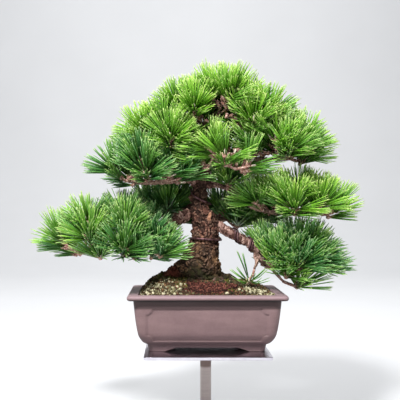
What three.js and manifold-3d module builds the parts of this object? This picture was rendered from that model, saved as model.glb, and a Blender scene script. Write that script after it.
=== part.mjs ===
// Japanese black pine bonsai in a rectangular unglazed pot, standing on a small display stand.
// Units are millimetres, +Z is up, +Y points away from the front, and the origin is the centre of
// the stand's underside. The wood (roots, trunk and branches) is one solid. Sprays of needles sit
// on its short side twigs, and the trunk stands in a plain hole in the soil that fills the pot.

import * as THREE from "three";
import Module from "manifold-3d";
import { mergeVertices } from "three/addons/utils/BufferGeometryUtils.js";

const wasm = await Module();
wasm.setup();

// Clearance between neighbouring pieces, the size below which edges left by a join are merged,
// the room that a buried or joined end has round it, the depth below which two shapes only touch,
// and how far a cut runs past what it cuts.
const GAP = 0.3;
const SHORTEST_EDGE = 0.03;
const JOINT_GAP = GAP + 0.05;
const TOUCH = 1e-6;
const CUT_BEYOND = 5;

// Driving dimensions of the stand: a thin plate on a round post on a foot plate.
const FOOT_WIDTH = 160;
const FOOT_DEPTH = 160;
const FOOT_THICK = 12;
const POST_RADIUS = 7.4;
const POST_LENGTH = 94.4;
const POST_SIDES = 20;
const PLATE_WIDTH = 161;
const PLATE_DEPTH = 172;
const PLATE_THICK = 4;
const PLATE_CORNER = 3;
const PLATE_CORNER_STEPS = 3;

// Driving dimensions of the pot, from its outer rim inwards.
const RIM_WIDTH = 204;
const RIM_DEPTH = 150;
const POT_HEIGHT = 74;
const FEET_HEIGHT = 5.3;
const FRONT_FEET_GAP = { bottomWidth: 109.4, topWidth: 79.9 };
const SIDE_FEET_GAP = { bottomWidth: 58, topWidth: 34 };
const FLOOR_THICK = 7.5;
const RIM_STRIP = 14;
const INNER_TAPER = 13;
const INNER_CORNER = 8;
const PANEL_BORDER = 25;
const PANEL_LOW = 14.7;
const PANEL_HIGH = 56.7;
const PANEL_NOTCH = 7.5;
const PANEL_RECESS = 1.3;
const BODY_CORNER = 9;
const RIM_CORNER = 5;
const CORNER_STEPS = 3;
const DRAIN_RADIUS = 8;
const DRAIN_SIDES = 16;
const DRAIN_SPACING = 80;

// Heights that follow from the stack of stand and pot.
const POST_BOTTOM = FOOT_THICK + GAP;
const PLATE_BOTTOM = POST_BOTTOM + POST_LENGTH + GAP;
const POT_BOTTOM = PLATE_BOTTOM + PLATE_THICK + GAP;
const POT_TOP = POT_BOTTOM + POT_HEIGHT;
const FLOOR_TOP = POT_BOTTOM + FEET_HEIGHT + FLOOR_THICK;
const INNER_LEVELS = [FLOOR_TOP + 20, FLOOR_TOP + 38];

// Plastic screens over the drain holes.
const SCREEN_SIZE = 27;
const SCREEN_THICK = 1;
const SCREEN_HOLE = 8;
const SCREEN_PITCH = 11;

// Soil, and the patch of red grit that lies on it in front of the trunk.
const SOIL_BELOW_RIM = 3;
const MOUND_HEIGHT = 18;
const MOUND_FALL = 0.07;
const HUMP = { x: -55, y: 25, height: 6, reach: 28 };
const SOIL_RINGS = [0.88, 0.68, 0.45, 0.2];
const SOIL_SIDE_STEPS = 5;
const GRIT_THICK = 2.2;
const GRIT_PLACE = { x: 4, y: -42, halfWidth: 33, halfDepth: 13 };
const GRIT_POINTS = 18;

// How finely the wood is cut.
const TRUNK_SIDES = 10;
const BURIED_ROWS = 5;
const BRANCH_SIDES = 6;
const BRANCH_STEPS_PER_ROW = 1.25;
const ROOT_SIDES = 7;
const ROOT_STEPS = 4;

// Stubs, which the wood carries: their size, how far they lean along the branch and upwards, and
// how they are spaced along it.
const STUB_RADIUS = 2;
const STUB_REACH = 5;
const STUB_LEAN = 0.6;
const STUB_LIFT = 0.5;
const STUB_SPACING = 14;
const STUB_SETBACK = 0.08;
const LINE_SAMPLES = 40;

// Twigs: their size, the room they keep, and where they fork and bend.
const TWIG_CLEARANCE = 0.6;
const TWIG_TRIES = 100;
const TWIG_LOOSENING = 0.1;
const SHOOT_RADIUS = 1.5;
const START_RADII = [1.5, 0.8];
const SHOOT_SIDES = 4;
const SHOOT_STEPS = 2;
const SHOOT_TURN = 0.3;
const SHOOT_TO_BRANCH = 14;
const FORK_SHARE = 0.42;
const BEND_SHARE = 0.45;
const SHORTEST_STEM = 7;
const MOST_SHOOTS_PER_SPRAY = 3;
const KEEP_ABOVE_BRANCH = 3;

// How the shoots of a dome point, from its foot to its top, and how unevenly they are spread.
const FOOT_AIM = { out: 1.1, up: 0.6 };
const TOP_AIM = { out: 0.4, up: 1.3 };
const TURN_SPREAD = 0.25;
const OUT_SPREAD = [0.85, 1.05];
const UP_SPREAD = [0.85, 1.1];
const GOLDEN_ANGLE = Math.PI * (3 - Math.sqrt(5));

// Needles: the core that they grow from, their size, how far they lean from the shoot's axis in
// radians, and what keeps them clear.
const BAND_LENGTH = 2.3;
const BUD_LENGTH = 3;
const CORE_LENGTH = 2 * BAND_LENGTH + BUD_LENGTH;
const NEEDLES_PER_SHOOT = 11;
const NEEDLE_LENGTHS = [42, 50];
const NEEDLE_ROOT = 0.9;
const NEEDLE_TIP = 0.05;
const LOW_LEAN = 1.1;
const MIDDLE_LEAN = 0.75;
const BUD_LEAN = 0.32;
const LEAN_SPREAD = 0.16;
const SIDE_SPREAD = 0.25;
const NEEDLE_LIFT = 0.16;
const STEEPEST_FALL = 0.3;
const LEAST_RISE_FROM_FACE = 0.2;
const NEEDLE_TRIES = 40;
const NEEDLE_GAP = 0.1;
const FREE_FROM = 5;
const NEEDLE_TO_SOIL = 4;

// Training wire.
const WIRE_RADIUS = 1;
const WIRE_SIDES = 4;
const WIRE_STEPS_PER_TURN = 8;
const WIRE_LINE_STEPS = 80;

const BARK = material(0x5a4232, 0.95);
const NEEDLE = material(0x4f8f2a, 0.6);
const CLAY = material(0x8d7270, 0.75);
const EARTH = material(0x5b4b38, 1);
const RED_GRIT = material(0x7d4433, 1);
const STEEL = material(0xb9b7bd, 0.3, 0.9);
const COPPER = material(0x6b4a45, 0.5, 0.6);
const BLACK_PLASTIC = material(0x202220, 0.7);

// The trunk rises from the soil, leans left at the first branches and turns back under the crown.
// Each row is x, y, z and radius.
const TRUNK = [
  [-4, 2, 166, 17],
  [-4, 2, 190, 24],
  [-5, 1, 204, 27],
  [-4, 0, 220, 24.5],
  [-3, 0, 240, 22],
  [0, 0, 258, 20],
  [-1, 0, 277, 18],
  [-7, 0, 293, 14.5],
  [-10, 0, 307, 11],
  [-8, 0, 320, 9.8],
  [-6, 0, 332, 8.6],
  [-1, 0, 354, 7],
  [8, 1, 381, 5.4],
  [15, 2, 404, 4.2],
];

// Surface roots run out from the trunk's foot and down into the soil.
const ROOTS = [
  [[-12, -2, 221, 15], [-30, -5, 215, 12], [-46, -7, 206, 8.5], [-60, -9, 193, 5]],
  [[-8, -8, 206, 10], [-18, -24, 200, 7.5], [-28, -34, 193, 5], [-36, -42, 183, 3]],
  [[4, -6, 206, 10], [14, -22, 200, 7], [22, -33, 192, 5], [29, -43, 181, 3]],
  [[6, 0, 206, 10], [26, 0, 201, 8], [42, 4, 193, 5.5], [56, 8, 183, 3.5]],
  [[2, 8, 206, 10], [16, 24, 201, 7], [26, 36, 194, 5], [34, 44, 184, 3]],
  [[-10, 8, 206, 10], [-24, 24, 201, 7.5], [-36, 34, 196, 5], [-44, 42, 188, 3]],
];

// A knot stands out of the trunk's front on the right, where a branch was once cut off.
const KNOT = [[-4, -2, 284, 9], [4, -8, 286, 9], [9, -13, 286, 6.5]];

// Each branch has its line (x, y, z, radius), the share of it that is bare, and the dome that its
// shoot tips fill: the dome's centre, its reach along x, y and z, how many tips it has, and how
// far its lowest shoots droop.
const BRANCHES = {
  left_low: {
    line: [
      [-8, 0, 292, 9], [-30, -2, 284, 7], [-58, -6, 271, 5.5], [-90, -9, 257, 4.5],
      [-125, -10, 246, 3.6], [-152, -10, 239, 2.8],
    ],
    bare: 0.3,
    dome: { centre: [-124, -8, 236], reach: [72, 58, 52], tips: 14 },
  },
  right_low: {
    line: [
      [4, -2, 274, 8.5], [24, -8, 273, 6.8], [39, -12, 266, 6], [53, -16, 256, 5.2],
      [64, -18, 243, 4.6], [70, -18, 229, 4], [84, -16, 220, 3.5], [104, -14, 216, 3],
      [122, -12, 213, 2.6],
    ],
    bare: 0.64,
    dome: { centre: [113, -12, 214], reach: [46, 44, 34], tips: 12, droop: 0.8 },
  },
  left_mid: {
    line: [
      [-7, 0, 329, 5], [-28, -3, 333, 3.8], [-50, -6, 332, 3.2], [-76, -8, 329, 2.9],
      [-98, -8, 331, 2.5],
    ],
    bare: 0.25,
    dome: { centre: [-76, -8, 333], reach: [50, 54, 36], tips: 10 },
  },
  left_up: {
    line: [[-2, 0, 350, 4.2], [-20, 0, 364, 3.3], [-40, 0, 372, 2.9], [-58, 0, 378, 2.5]],
    bare: 0.3,
    dome: { centre: [-52, 2, 377], reach: [42, 48, 33], tips: 8 },
  },
  right_mid: {
    line: [
      [-3, 1, 327, 5.5], [18, 0, 327, 4.4], [36, -2, 320, 3.9], [51, -3, 309, 3.6],
      [62, -4, 298, 3.4], [82, -5, 291, 3.1], [108, -5, 289, 2.9], [136, -5, 291, 2.6],
    ],
    bare: 0.5,
    dome: { centre: [114, -6, 292], reach: [57, 48, 20], tips: 11 },
  },
  right_up: {
    line: [
      [2, 0, 360, 4.4], [20, -3, 366, 3.5], [45, -5, 365, 3.2], [76, -6, 360, 2.9],
      [104, -6, 361, 2.6],
    ],
    bare: 0.4,
    dome: { centre: [97, -6, 364], reach: [44, 52, 33], tips: 10 },
  },
  crown_left: {
    line: [[14, 2, 400, 3.6], [0, 1, 408, 3], [-14, 1, 414, 2.5]],
    bare: 0.4,
    dome: { centre: [-17, 2, 413], reach: [31, 40, 29], tips: 6 },
  },
  crown_right: {
    line: [[12, 2, 394, 3.8], [32, 3, 402, 3.1], [50, 4, 404, 2.8], [64, 4, 406, 2.5]],
    bare: 0.35,
    dome: { centre: [63, 4, 402], reach: [34, 44, 31], tips: 8 },
  },
  crown: {
    line: [[15, 2, 402, 4], [17, 2, 416, 3.4], [19, 2, 426, 3], [21, 2, 434, 2.6]],
    bare: 0.3,
    dome: { centre: [24, 2, 434], reach: [26, 32, 21], tips: 7 },
  },
  back_left: {
    line: [[-8, 5, 300, 6], [-24, 28, 295, 4.4], [-40, 47, 289, 3.3], [-52, 58, 287, 2.6]],
    bare: 0.4,
    dome: { centre: [-54, 62, 284], reach: [36, 30, 24], tips: 6 },
  },
  back_right: {
    line: [[0, 6, 286, 6], [16, 30, 283, 4.4], [32, 49, 280, 3.3], [43, 60, 279, 2.6]],
    bare: 0.4,
    dome: { centre: [46, 64, 278], reach: [36, 28, 22], tips: 6 },
  },
  back_up: {
    line: [[-3, 2, 343, 4.6], [0, 24, 350, 3.5], [4, 44, 352, 2.9], [7, 58, 353, 2.5]],
    bare: 0.35,
    dome: { centre: [8, 64, 350], reach: [48, 30, 26], tips: 7 },
  },
  front_up: {
    line: [[1, -1, 362, 4.2], [10, -18, 360, 3.2], [17, -34, 356, 2.8], [20, -44, 354, 2.5]],
    bare: 0.4,
    dome: { centre: [20, -46, 350], reach: [38, 24, 26], tips: 5 },
  },
  low_shoot: {
    line: [[68, -18, 232, 3.2], [66, -24, 224, 2.8], [63, -29, 216, 2.4]],
    bare: 0.9,
    dome: { centre: [57, -36, 203], reach: [1, 1, 1], tips: 1 },
  },
};

// Training wires: the line they wind round, the shares of it between which they run, how many
// turns they make and the angle they start at.
const WIRES = {
  wire_trunk_low: { round: TRUNK, from: 0.335, to: 0.4, turns: 1.1, start: 2.5 },
  wire_trunk_high: { round: TRUNK, from: 0.555, to: 0.695, turns: -0.6, start: 1.7 },
  wire_branch_near: { round: BRANCHES.right_low.line, from: 0.17, to: 0.56, turns: 2.2, start: 0 },
  wire_branch_far: { round: BRANCHES.right_low.line, from: 0.2, to: 0.59, turns: 2.2, start: 0 },
};

function material(color, roughness, metalness = 0) {
  return new THREE.MeshStandardMaterial({ color, roughness, metalness });
}

function vec(x, y, z) {
  return new THREE.Vector3(x, y, z);
}

// Random numbers between 0 and 1 from a seed, the same on every run.
function randomSource(seed) {
  let state = seed >>> 0;
  return () => {
    state = (state + 0x6d2b79f5) >>> 0;
    let mixed = Math.imul(state ^ (state >>> 15), state | 1);
    mixed ^= mixed + Math.imul(mixed ^ (mixed >>> 7), mixed | 61);
    return ((mixed ^ (mixed >>> 14)) >>> 0) / 4294967296;
  };
}

const random = randomSource(1871);

function between(low, high) {
  return low + (high - low) * random();
}

function randomVec(size) {
  return vec(between(-size, size), between(-size, size), between(-size, size));
}

// Solids

function solidOf(geometry) {
  const bare = geometry.index ? geometry.toNonIndexed() : geometry.clone();
  bare.deleteAttribute("normal");
  bare.deleteAttribute("uv");
  const merged = mergeVertices(bare, 1e-4);
  const vertProperties = merged.attributes.position.array;
  const triVerts = new Uint32Array(merged.index.array);
  return new wasm.Manifold(new wasm.Mesh({ numProp: 3, vertProperties, triVerts }));
}

function union(solids) {
  return solids.reduce((whole, next) => whole.add(next));
}

// The solid without any loose scrap that a cut or join leaves.
function largestPiece(solid) {
  const pieces = solid.decompose();
  return pieces.reduce((best, piece) => (piece.volume() > best.volume() ? piece : best));
}

function meshOf(name, solid, look) {
  const data = largestPiece(solid.simplify(SHORTEST_EDGE)).getMesh();
  const geometry = new THREE.BufferGeometry();
  geometry.setAttribute("position", new THREE.BufferAttribute(data.vertProperties, 3));
  geometry.setIndex(new THREE.BufferAttribute(data.triVerts, 1));
  geometry.computeVertexNormals();
  const mesh = new THREE.Mesh(geometry, look);
  mesh.name = name;
  return mesh;
}

// A closed surface through rings of equal length, with a fan to a point at each end. The rings
// run anticlockwise when looked at from the far end.
function ringSurface(rings, startPoint, endPoint) {
  const count = rings[0].length;
  const points = [...rings.flat(), startPoint, endPoint];
  const start = points.length - 2;
  const end = points.length - 1;
  const last = (rings.length - 1) * count;
  const faces = [];
  for (let i = 0; i < count; i++) {
    const j = (i + 1) % count;
    faces.push(start, j, i);
    for (let base = 0; base < last; base += count) {
      faces.push(base + i, base + j, base + j + count);
      faces.push(base + i, base + j + count, base + i + count);
    }
    faces.push(end, last + i, last + j);
  }
  const geometry = new THREE.BufferGeometry().setFromPoints(points);
  geometry.setIndex(faces);
  return geometry;
}

// A rectangle with round corners at height z, anticlockwise from above.
function roundedRing(halfX, halfY, corner, z, cornerSteps, sideSteps) {
  const corners = [
    [halfX - corner, -halfY + corner],
    [halfX - corner, halfY - corner],
    [-halfX + corner, halfY - corner],
    [-halfX + corner, -halfY + corner],
  ];
  const ring = [];
  corners.forEach(([centreX, centreY], quarter) => {
    for (let i = 0; i <= cornerSteps; i++) {
      const angle = ((quarter - 1 + i / cornerSteps) * Math.PI) / 2;
      ring.push(vec(centreX + corner * Math.cos(angle), centreY + corner * Math.sin(angle), z));
    }
    const here = ring[ring.length - 1];
    const [nextX, nextY] = corners[(quarter + 1) % 4];
    const nextAngle = (quarter * Math.PI) / 2;
    const next = vec(nextX + corner * Math.cos(nextAngle), nextY + corner * Math.sin(nextAngle), z);
    for (let i = 1; i < sideSteps; i++) {
      ring.push(here.clone().lerp(next, i / sideSteps));
    }
  });
  return ring;
}

// Frames along a line of points, carried without twist.
function framesAlong(points) {
  const tangents = points.map((point, i) => {
    const before = points[Math.max(0, i - 1)];
    const after = points[Math.min(points.length - 1, i + 1)];
    return after.clone().sub(before).normalize();
  });
  const helper = Math.abs(tangents[0].z) < 0.9 ? vec(0, 0, 1) : vec(1, 0, 0);
  let side = helper.cross(tangents[0]);
  return points.map((point, i) => {
    const tangent = tangents[i];
    side = side.clone().addScaledVector(tangent, -side.dot(tangent)).normalize();
    return { point, tangent, side, up: tangent.clone().cross(side) };
  });
}

function pointRound(frame, radius, angle) {
  return frame.point
    .clone()
    .addScaledVector(frame.side, radius * Math.cos(angle))
    .addScaledVector(frame.up, radius * Math.sin(angle));
}

function ringRound(frame, radius, sides, turn = 0) {
  const steps = Array.from({ length: sides }, (unused, i) => (2 * Math.PI * (i + turn)) / sides);
  return steps.map((angle) => pointRound(frame, radius, angle));
}

// A tube through points with a radius at each, made wider and longer by extra.
function tube(points, radii, sides, extra = 0) {
  const frames = framesAlong(points);
  const last = frames.length - 1;
  frames[0].point = frames[0].point.clone().addScaledVector(frames[0].tangent, -extra);
  frames[last].point = frames[last].point.clone().addScaledVector(frames[last].tangent, extra);
  const rings = frames.map((frame, i) => ringRound(frame, radii[i] + extra, sides));
  return solidOf(ringSurface(rings, frames[0].point, frames[last].point));
}

// A smooth line through rows of x, y, z and radius, as evenly numbered points and radii.
function smoothLine(rows, steps) {
  const curve = new THREE.CatmullRomCurve3(rows.map(([x, y, z]) => vec(x, y, z)));
  const points = [];
  const radii = [];
  for (let i = 0; i <= steps; i++) {
    const place = (i / steps) * (rows.length - 1);
    const row = Math.min(rows.length - 2, Math.floor(place));
    points.push(curve.getPoint(i / steps));
    radii.push(THREE.MathUtils.lerp(rows[row][3], rows[row + 1][3], place - row));
  }
  return { points, radii };
}

function placeOnLine(line, share) {
  const place = share * (line.points.length - 1);
  const row = Math.min(line.points.length - 2, Math.floor(place));
  const point = line.points[row].clone().lerp(line.points[row + 1], place - row);
  const tangent = line.points[row + 1].clone().sub(line.points[row]).normalize();
  const radius = THREE.MathUtils.lerp(line.radii[row], line.radii[row + 1], place - row);
  return { point, tangent, radius };
}

const TRUNK_LINE = smoothLine(TRUNK, TRUNK.length - 1);

// Stand

function roundedPlate(width, depth, thick, bottom) {
  const outline = roundedRing(width / 2, depth / 2, PLATE_CORNER, 0, PLATE_CORNER_STEPS, 1);
  const shape = new THREE.Shape(outline.map((point) => new THREE.Vector2(point.x, point.y)));
  const geometry = new THREE.ExtrudeGeometry(shape, { depth: thick, bevelEnabled: false });
  return solidOf(geometry.translate(0, 0, bottom));
}

function standMeshes() {
  const post = new THREE.CylinderGeometry(POST_RADIUS, POST_RADIUS, POST_LENGTH, POST_SIDES);
  post.rotateX(Math.PI / 2).translate(0, 0, POST_BOTTOM + POST_LENGTH / 2);
  return [
    meshOf("stand_foot", roundedPlate(FOOT_WIDTH, FOOT_DEPTH, FOOT_THICK, 0), STEEL),
    meshOf("stand_post", solidOf(post), STEEL),
    meshOf("stand_plate", roundedPlate(PLATE_WIDTH, PLATE_DEPTH, PLATE_THICK, PLATE_BOTTOM), STEEL),
  ];
}

// Pot

// Height above the pot's lowest point, and how far the outer wall lies inside the rim's edge.
const WALL_PROFILE = [
  [0, 27], [8.5, 25], [10.5, 21.5], [14.9, 17.3], [21.4, 13.8], [27.9, 12.4], [37, 10.9],
  [50, 9.3], [66.8, 7.6], [67.3, 1.4], [69, 0], [72.2, 0], [74, 1.7],
];

function potWall(inset) {
  const rings = WALL_PROFILE.map(([height, draw]) => {
    const corner = draw < RIM_CORNER ? RIM_CORNER : BODY_CORNER;
    const halfX = RIM_WIDTH / 2 - draw - inset;
    const halfY = RIM_DEPTH / 2 - draw - inset;
    return roundedRing(halfX, halfY, corner, POT_BOTTOM + height, CORNER_STEPS, 1);
  });
  return solidOf(ringSurface(rings, vec(0, 0, POT_BOTTOM), vec(0, 0, POT_TOP)));
}

// The room inside the pot at height z, or with a positive inset what fills it.
function innerRing(z, inset, sideSteps = 1) {
  const share = THREE.MathUtils.clamp((POT_TOP - z) / (POT_TOP - FLOOR_TOP), 0, 1);
  const draw = RIM_STRIP + INNER_TAPER * share ** 2 + inset;
  return roundedRing(RIM_WIDTH / 2 - draw, RIM_DEPTH / 2 - draw, INNER_CORNER, z, 2, sideSteps);
}

function potHollow() {
  const heights = [FLOOR_TOP, ...INNER_LEVELS, POT_TOP];
  const rings = heights.map((z) => innerRing(z, 0));
  const above = POT_TOP + CUT_BEYOND;
  rings.push(rings[rings.length - 1].map((point) => point.clone().setZ(above)));
  return solidOf(ringSurface(rings, vec(0, 0, FLOOR_TOP), vec(0, 0, above)));
}

// A prism through the whole pot, with its section given as x and height above the pot's bottom.
function throughPot(section, alongX) {
  const length = 2 * RIM_WIDTH;
  const shape = new THREE.Shape(section.map(([x, z]) => new THREE.Vector2(x, z)));
  const geometry = new THREE.ExtrudeGeometry(shape, { depth: length, bevelEnabled: false });
  geometry.rotateX(Math.PI / 2).translate(0, length / 2, POT_BOTTOM);
  if (alongX) geometry.rotateZ(Math.PI / 2);
  return solidOf(geometry);
}

// The gap between two feet: wide at the bottom, narrow at the top.
function feetGap({ bottomWidth, topWidth }, alongX) {
  const slope = (bottomWidth - topWidth) / 2 / FEET_HEIGHT;
  const low = -CUT_BEYOND;
  const lowHalf = topWidth / 2 + slope * (FEET_HEIGHT - low);
  const section = [
    [-lowHalf, low], [lowHalf, low], [topWidth / 2, FEET_HEIGHT], [-topWidth / 2, FEET_HEIGHT],
  ];
  return throughPot(section, alongX);
}

// The outline of a wall panel: a rectangle whose corners step in.
function panelPrism(half, alongX) {
  const notched = half - PANEL_NOTCH;
  const low = PANEL_LOW + PANEL_NOTCH;
  const high = PANEL_HIGH - PANEL_NOTCH;
  const section = [
    [-notched, PANEL_LOW], [notched, PANEL_LOW], [notched, low], [half, low], [half, high],
    [notched, high], [notched, PANEL_HIGH], [-notched, PANEL_HIGH], [-notched, high],
    [-half, high], [-half, low], [-notched, low],
  ];
  return throughPot(section, alongX);
}

function drainHole(x) {
  const geometry = new THREE.CylinderGeometry(DRAIN_RADIUS, DRAIN_RADIUS, 4 * FLOOR_THICK, DRAIN_SIDES);
  geometry.rotateX(Math.PI / 2).translate(x, 0, FLOOR_TOP - FLOOR_THICK);
  return solidOf(geometry);
}

function potMesh() {
  const skin = potWall(-PANEL_RECESS).subtract(potWall(PANEL_RECESS));
  const panels = panelPrism(RIM_WIDTH / 2 - PANEL_BORDER, false).add(
    panelPrism(RIM_DEPTH / 2 - PANEL_BORDER, true),
  );
  const pot = potWall(0)
    .subtract(potHollow())
    .subtract(skin.intersect(panels))
    .subtract(feetGap(FRONT_FEET_GAP, false))
    .subtract(feetGap(SIDE_FEET_GAP, true))
    .subtract(drainHole(-DRAIN_SPACING / 2))
    .subtract(drainHole(DRAIN_SPACING / 2));
  return meshOf("pot", pot, CLAY);
}

function squareBar(size, depth, x, y, z) {
  return solidOf(new THREE.BoxGeometry(size, size, depth).translate(x, y, z));
}

function screenMesh(name, x) {
  const middle = FLOOR_TOP + GAP + SCREEN_THICK / 2;
  let screen = squareBar(SCREEN_SIZE, SCREEN_THICK, x, 0, middle);
  for (const column of [-0.5, 0.5]) {
    for (const row of [-0.5, 0.5]) {
      const holeX = x + column * SCREEN_PITCH;
      const hole = squareBar(SCREEN_HOLE, 3 * SCREEN_THICK, holeX, row * SCREEN_PITCH, middle);
      screen = screen.subtract(hole);
    }
  }
  return meshOf(name, screen, BLACK_PLASTIC);
}

// Soil

// The soil's surface: low at the rim, high round the trunk, with a mossy hump behind on the left.
function soilHeight(x, y) {
  const acrossX = Math.min(1, Math.abs(x) / (RIM_WIDTH / 2 - RIM_STRIP));
  const acrossY = Math.min(1, Math.abs(y) / (RIM_DEPTH / 2 - RIM_STRIP));
  const rise = (1 - acrossX ** 6) * (1 - acrossY ** (y < 0 ? 3 : 6));
  const fromHump = Math.hypot(x - HUMP.x, y - HUMP.y) / HUMP.reach;
  const hump = HUMP.height * Math.exp(-(fromHump ** 2));
  return POT_TOP - SOIL_BELOW_RIM + rise * (MOUND_HEIGHT - MOUND_FALL * x + hump);
}

function soilSolid() {
  const bottom = FLOOR_TOP + SCREEN_THICK + 2 * GAP;
  const surface = POT_TOP - SOIL_BELOW_RIM;
  const heights = [bottom, ...INNER_LEVELS, surface];
  const rings = heights.map((z) => innerRing(z, GAP, SOIL_SIDE_STEPS));
  const edge = rings[rings.length - 1];
  for (const share of SOIL_RINGS) {
    rings.push(
      edge.map(({ x, y }) => vec(x * share, y * share, soilHeight(x * share, y * share))),
    );
  }
  return solidOf(ringSurface(rings, vec(0, 0, bottom), vec(0, 0, soilHeight(0, 0))));
}

// The trunk's first rows with the surface roots, made wider by extra.
function trunkWithRoots(rowCount, extra) {
  const trunk = tube(TRUNK_LINE.points.slice(0, rowCount), TRUNK_LINE.radii, TRUNK_SIDES, extra);
  const roots = ROOTS.map((rows) => {
    const { points, radii } = smoothLine(rows, ROOT_STEPS);
    return tube(points, radii, ROOT_SIDES, extra);
  });
  return union([trunk, ...roots]);
}

// The grit is a layer over the soil inside a wavy oval.
function gritPrism() {
  const points = Array.from({ length: GRIT_POINTS }, (unused, i) => {
    const angle = (2 * Math.PI * i) / GRIT_POINTS;
    const wave = 1 + 0.1 * Math.sin(3 * angle + 1) + 0.06 * Math.sin(5 * angle);
    const x = GRIT_PLACE.x + GRIT_PLACE.halfWidth * wave * Math.cos(angle);
    const y = GRIT_PLACE.y + GRIT_PLACE.halfDepth * wave * Math.sin(angle);
    return new THREE.Vector2(x, y);
  });
  const options = { depth: 2 * MOUND_HEIGHT + 2 * CUT_BEYOND, bevelEnabled: false };
  const geometry = new THREE.ExtrudeGeometry(new THREE.Shape(points), options);
  return solidOf(geometry.translate(0, 0, POT_TOP - SOIL_BELOW_RIM - CUT_BEYOND));
}

function soilMeshes() {
  const filled = soilSolid();
  const rootRoom = trunkWithRoots(BURIED_ROWS, JOINT_GAP);
  const grit = gritPrism()
    .intersect(filled.translate(0, 0, GRIT_THICK + GAP))
    .subtract(filled.translate(0, 0, GAP))
    .subtract(rootRoom);
  return [
    meshOf("soil", filled.subtract(rootRoom), EARTH),
    meshOf("red_grit_patch", grit, RED_GRIT),
  ];
}

// Keeping twigs and needles clear of each other: each is held as straight rods with a radius at
// both ends, an owner that it may touch, and the point half-way along.

function rod(from, to, fromRadius, toRadius, owner) {
  const middle = from.clone().lerp(to, 0.5);
  const reach = from.distanceTo(to) / 2 + Math.max(fromRadius, toRadius);
  return { from, to, fromRadius, toRadius, owner, middle, reach };
}

// How far apart the surfaces of two rods are at the nearest points of their middle lines.
function rodGap(a, b) {
  const along = a.to.clone().sub(a.from);
  const across = b.to.clone().sub(b.from);
  const offset = a.from.clone().sub(b.from);
  const aa = along.dot(along);
  const bb = across.dot(across);
  const ab = along.dot(across);
  const ao = along.dot(offset);
  const bo = across.dot(offset);
  const spread = aa * bb - ab * ab;
  let onA = spread > 1e-9 ? THREE.MathUtils.clamp((ab * bo - ao * bb) / spread, 0, 1) : 0;
  const onB = THREE.MathUtils.clamp((ab * onA + bo) / bb, 0, 1);
  onA = THREE.MathUtils.clamp((ab * onB - ao) / aa, 0, 1);
  const onePoint = a.from.clone().addScaledVector(along, onA);
  const otherPoint = b.from.clone().addScaledVector(across, onB);
  const oneRadius = THREE.MathUtils.lerp(a.fromRadius, a.toRadius, onA);
  const otherRadius = THREE.MathUtils.lerp(b.fromRadius, b.toRadius, onB);
  return onePoint.distanceTo(otherPoint) - oneRadius - otherRadius;
}

function isClear(candidate, rods, margin) {
  return rods.every((other) => {
    const far = candidate.middle.distanceTo(other.middle) > candidate.reach + other.reach + margin;
    return far || rodGap(candidate, other) > margin;
  });
}

function ofOthers(rods, owner) {
  return rods.filter((one) => one.owner !== owner);
}

function rodsAlong(points, radii, owner) {
  return points
    .slice(1)
    .map((point, i) => rod(points[i], point, radii[i], radii[i + 1], owner));
}

// Wood

function branchLines() {
  return Object.fromEntries(
    Object.entries(BRANCHES).map(([name, { line }]) => [
      name, smoothLine(line, Math.round((line.length - 1) * BRANCH_STEPS_PER_ROW)),
    ]),
  );
}

// The tips of a dome, spread evenly by the golden angle, and the way that each shoot points:
// sideways at the dome's foot and upwards at its top. Drooping shoots point lower at the foot.
function domeTips({ centre, reach, tips, droop = 0 }) {
  const places = [];
  for (let i = 0; i < tips; i++) {
    const height = (i + 0.35) / tips;
    const around = i * GOLDEN_ANGLE + between(-TURN_SPREAD, TURN_SPREAD);
    const out = Math.sqrt(1 - height * height) * between(...OUT_SPREAD);
    const up = height * between(...UP_SPREAD);
    const offset = vec(
      reach[0] * out * Math.cos(around), reach[1] * out * Math.sin(around), reach[2] * up,
    );
    const lean = THREE.MathUtils.lerp(FOOT_AIM.out, TOP_AIM.out, height);
    const ownDroop = droop * (1 - height);
    const rise = THREE.MathUtils.lerp(FOOT_AIM.up, TOP_AIM.up, height) - ownDroop;
    const aim = vec(lean * Math.cos(around), lean * Math.sin(around), rise).normalize();
    places.push({ place: vec(...centre).add(offset), aim, droop: ownDroop });
  }
  return places;
}

// Neighbouring tips share a spray: the outermost tip left takes its nearest neighbours.
function groupTips(tips, centre) {
  const left = [...tips];
  const groups = [];
  while (left.length > 0) {
    left.sort((a, b) => b.place.distanceTo(centre) - a.place.distanceTo(centre));
    const lead = left.shift();
    left.sort((a, b) => a.place.distanceTo(lead.place) - b.place.distanceTo(lead.place));
    groups.push([lead, ...left.splice(0, MOST_SHOOTS_PER_SPRAY - 1)]);
  }
  return groups;
}

function meanOf(points) {
  const sum = points.reduce((total, point) => total.add(point), vec(0, 0, 0));
  return sum.divideScalar(points.length);
}

// The share along a line at which it comes nearest to a point.
function nearestShare(line, target) {
  let best = 0;
  for (let i = 0; i <= LINE_SAMPLES; i++) {
    const share = i / LINE_SAMPLES;
    const here = placeOnLine(line, share).point.distanceTo(target);
    if (here < placeOnLine(line, best).point.distanceTo(target)) best = share;
  }
  return best;
}

// A tip whose shoot would start too close to its branch moves straight away from it.
function keepOffBranch(tip, line) {
  const { place, aim } = tip;
  const base = place.clone().addScaledVector(aim, -CORE_LENGTH);
  const nearest = placeOnLine(line, nearestShare(line, base)).point;
  const away = base.clone().sub(nearest).add(vec(0, 0, KEEP_ABOVE_BRANCH));
  const short = Math.max(0, SHOOT_TO_BRANCH - away.length());
  return { ...tip, place: place.clone().addScaledVector(away.normalize(), short) };
}

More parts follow.
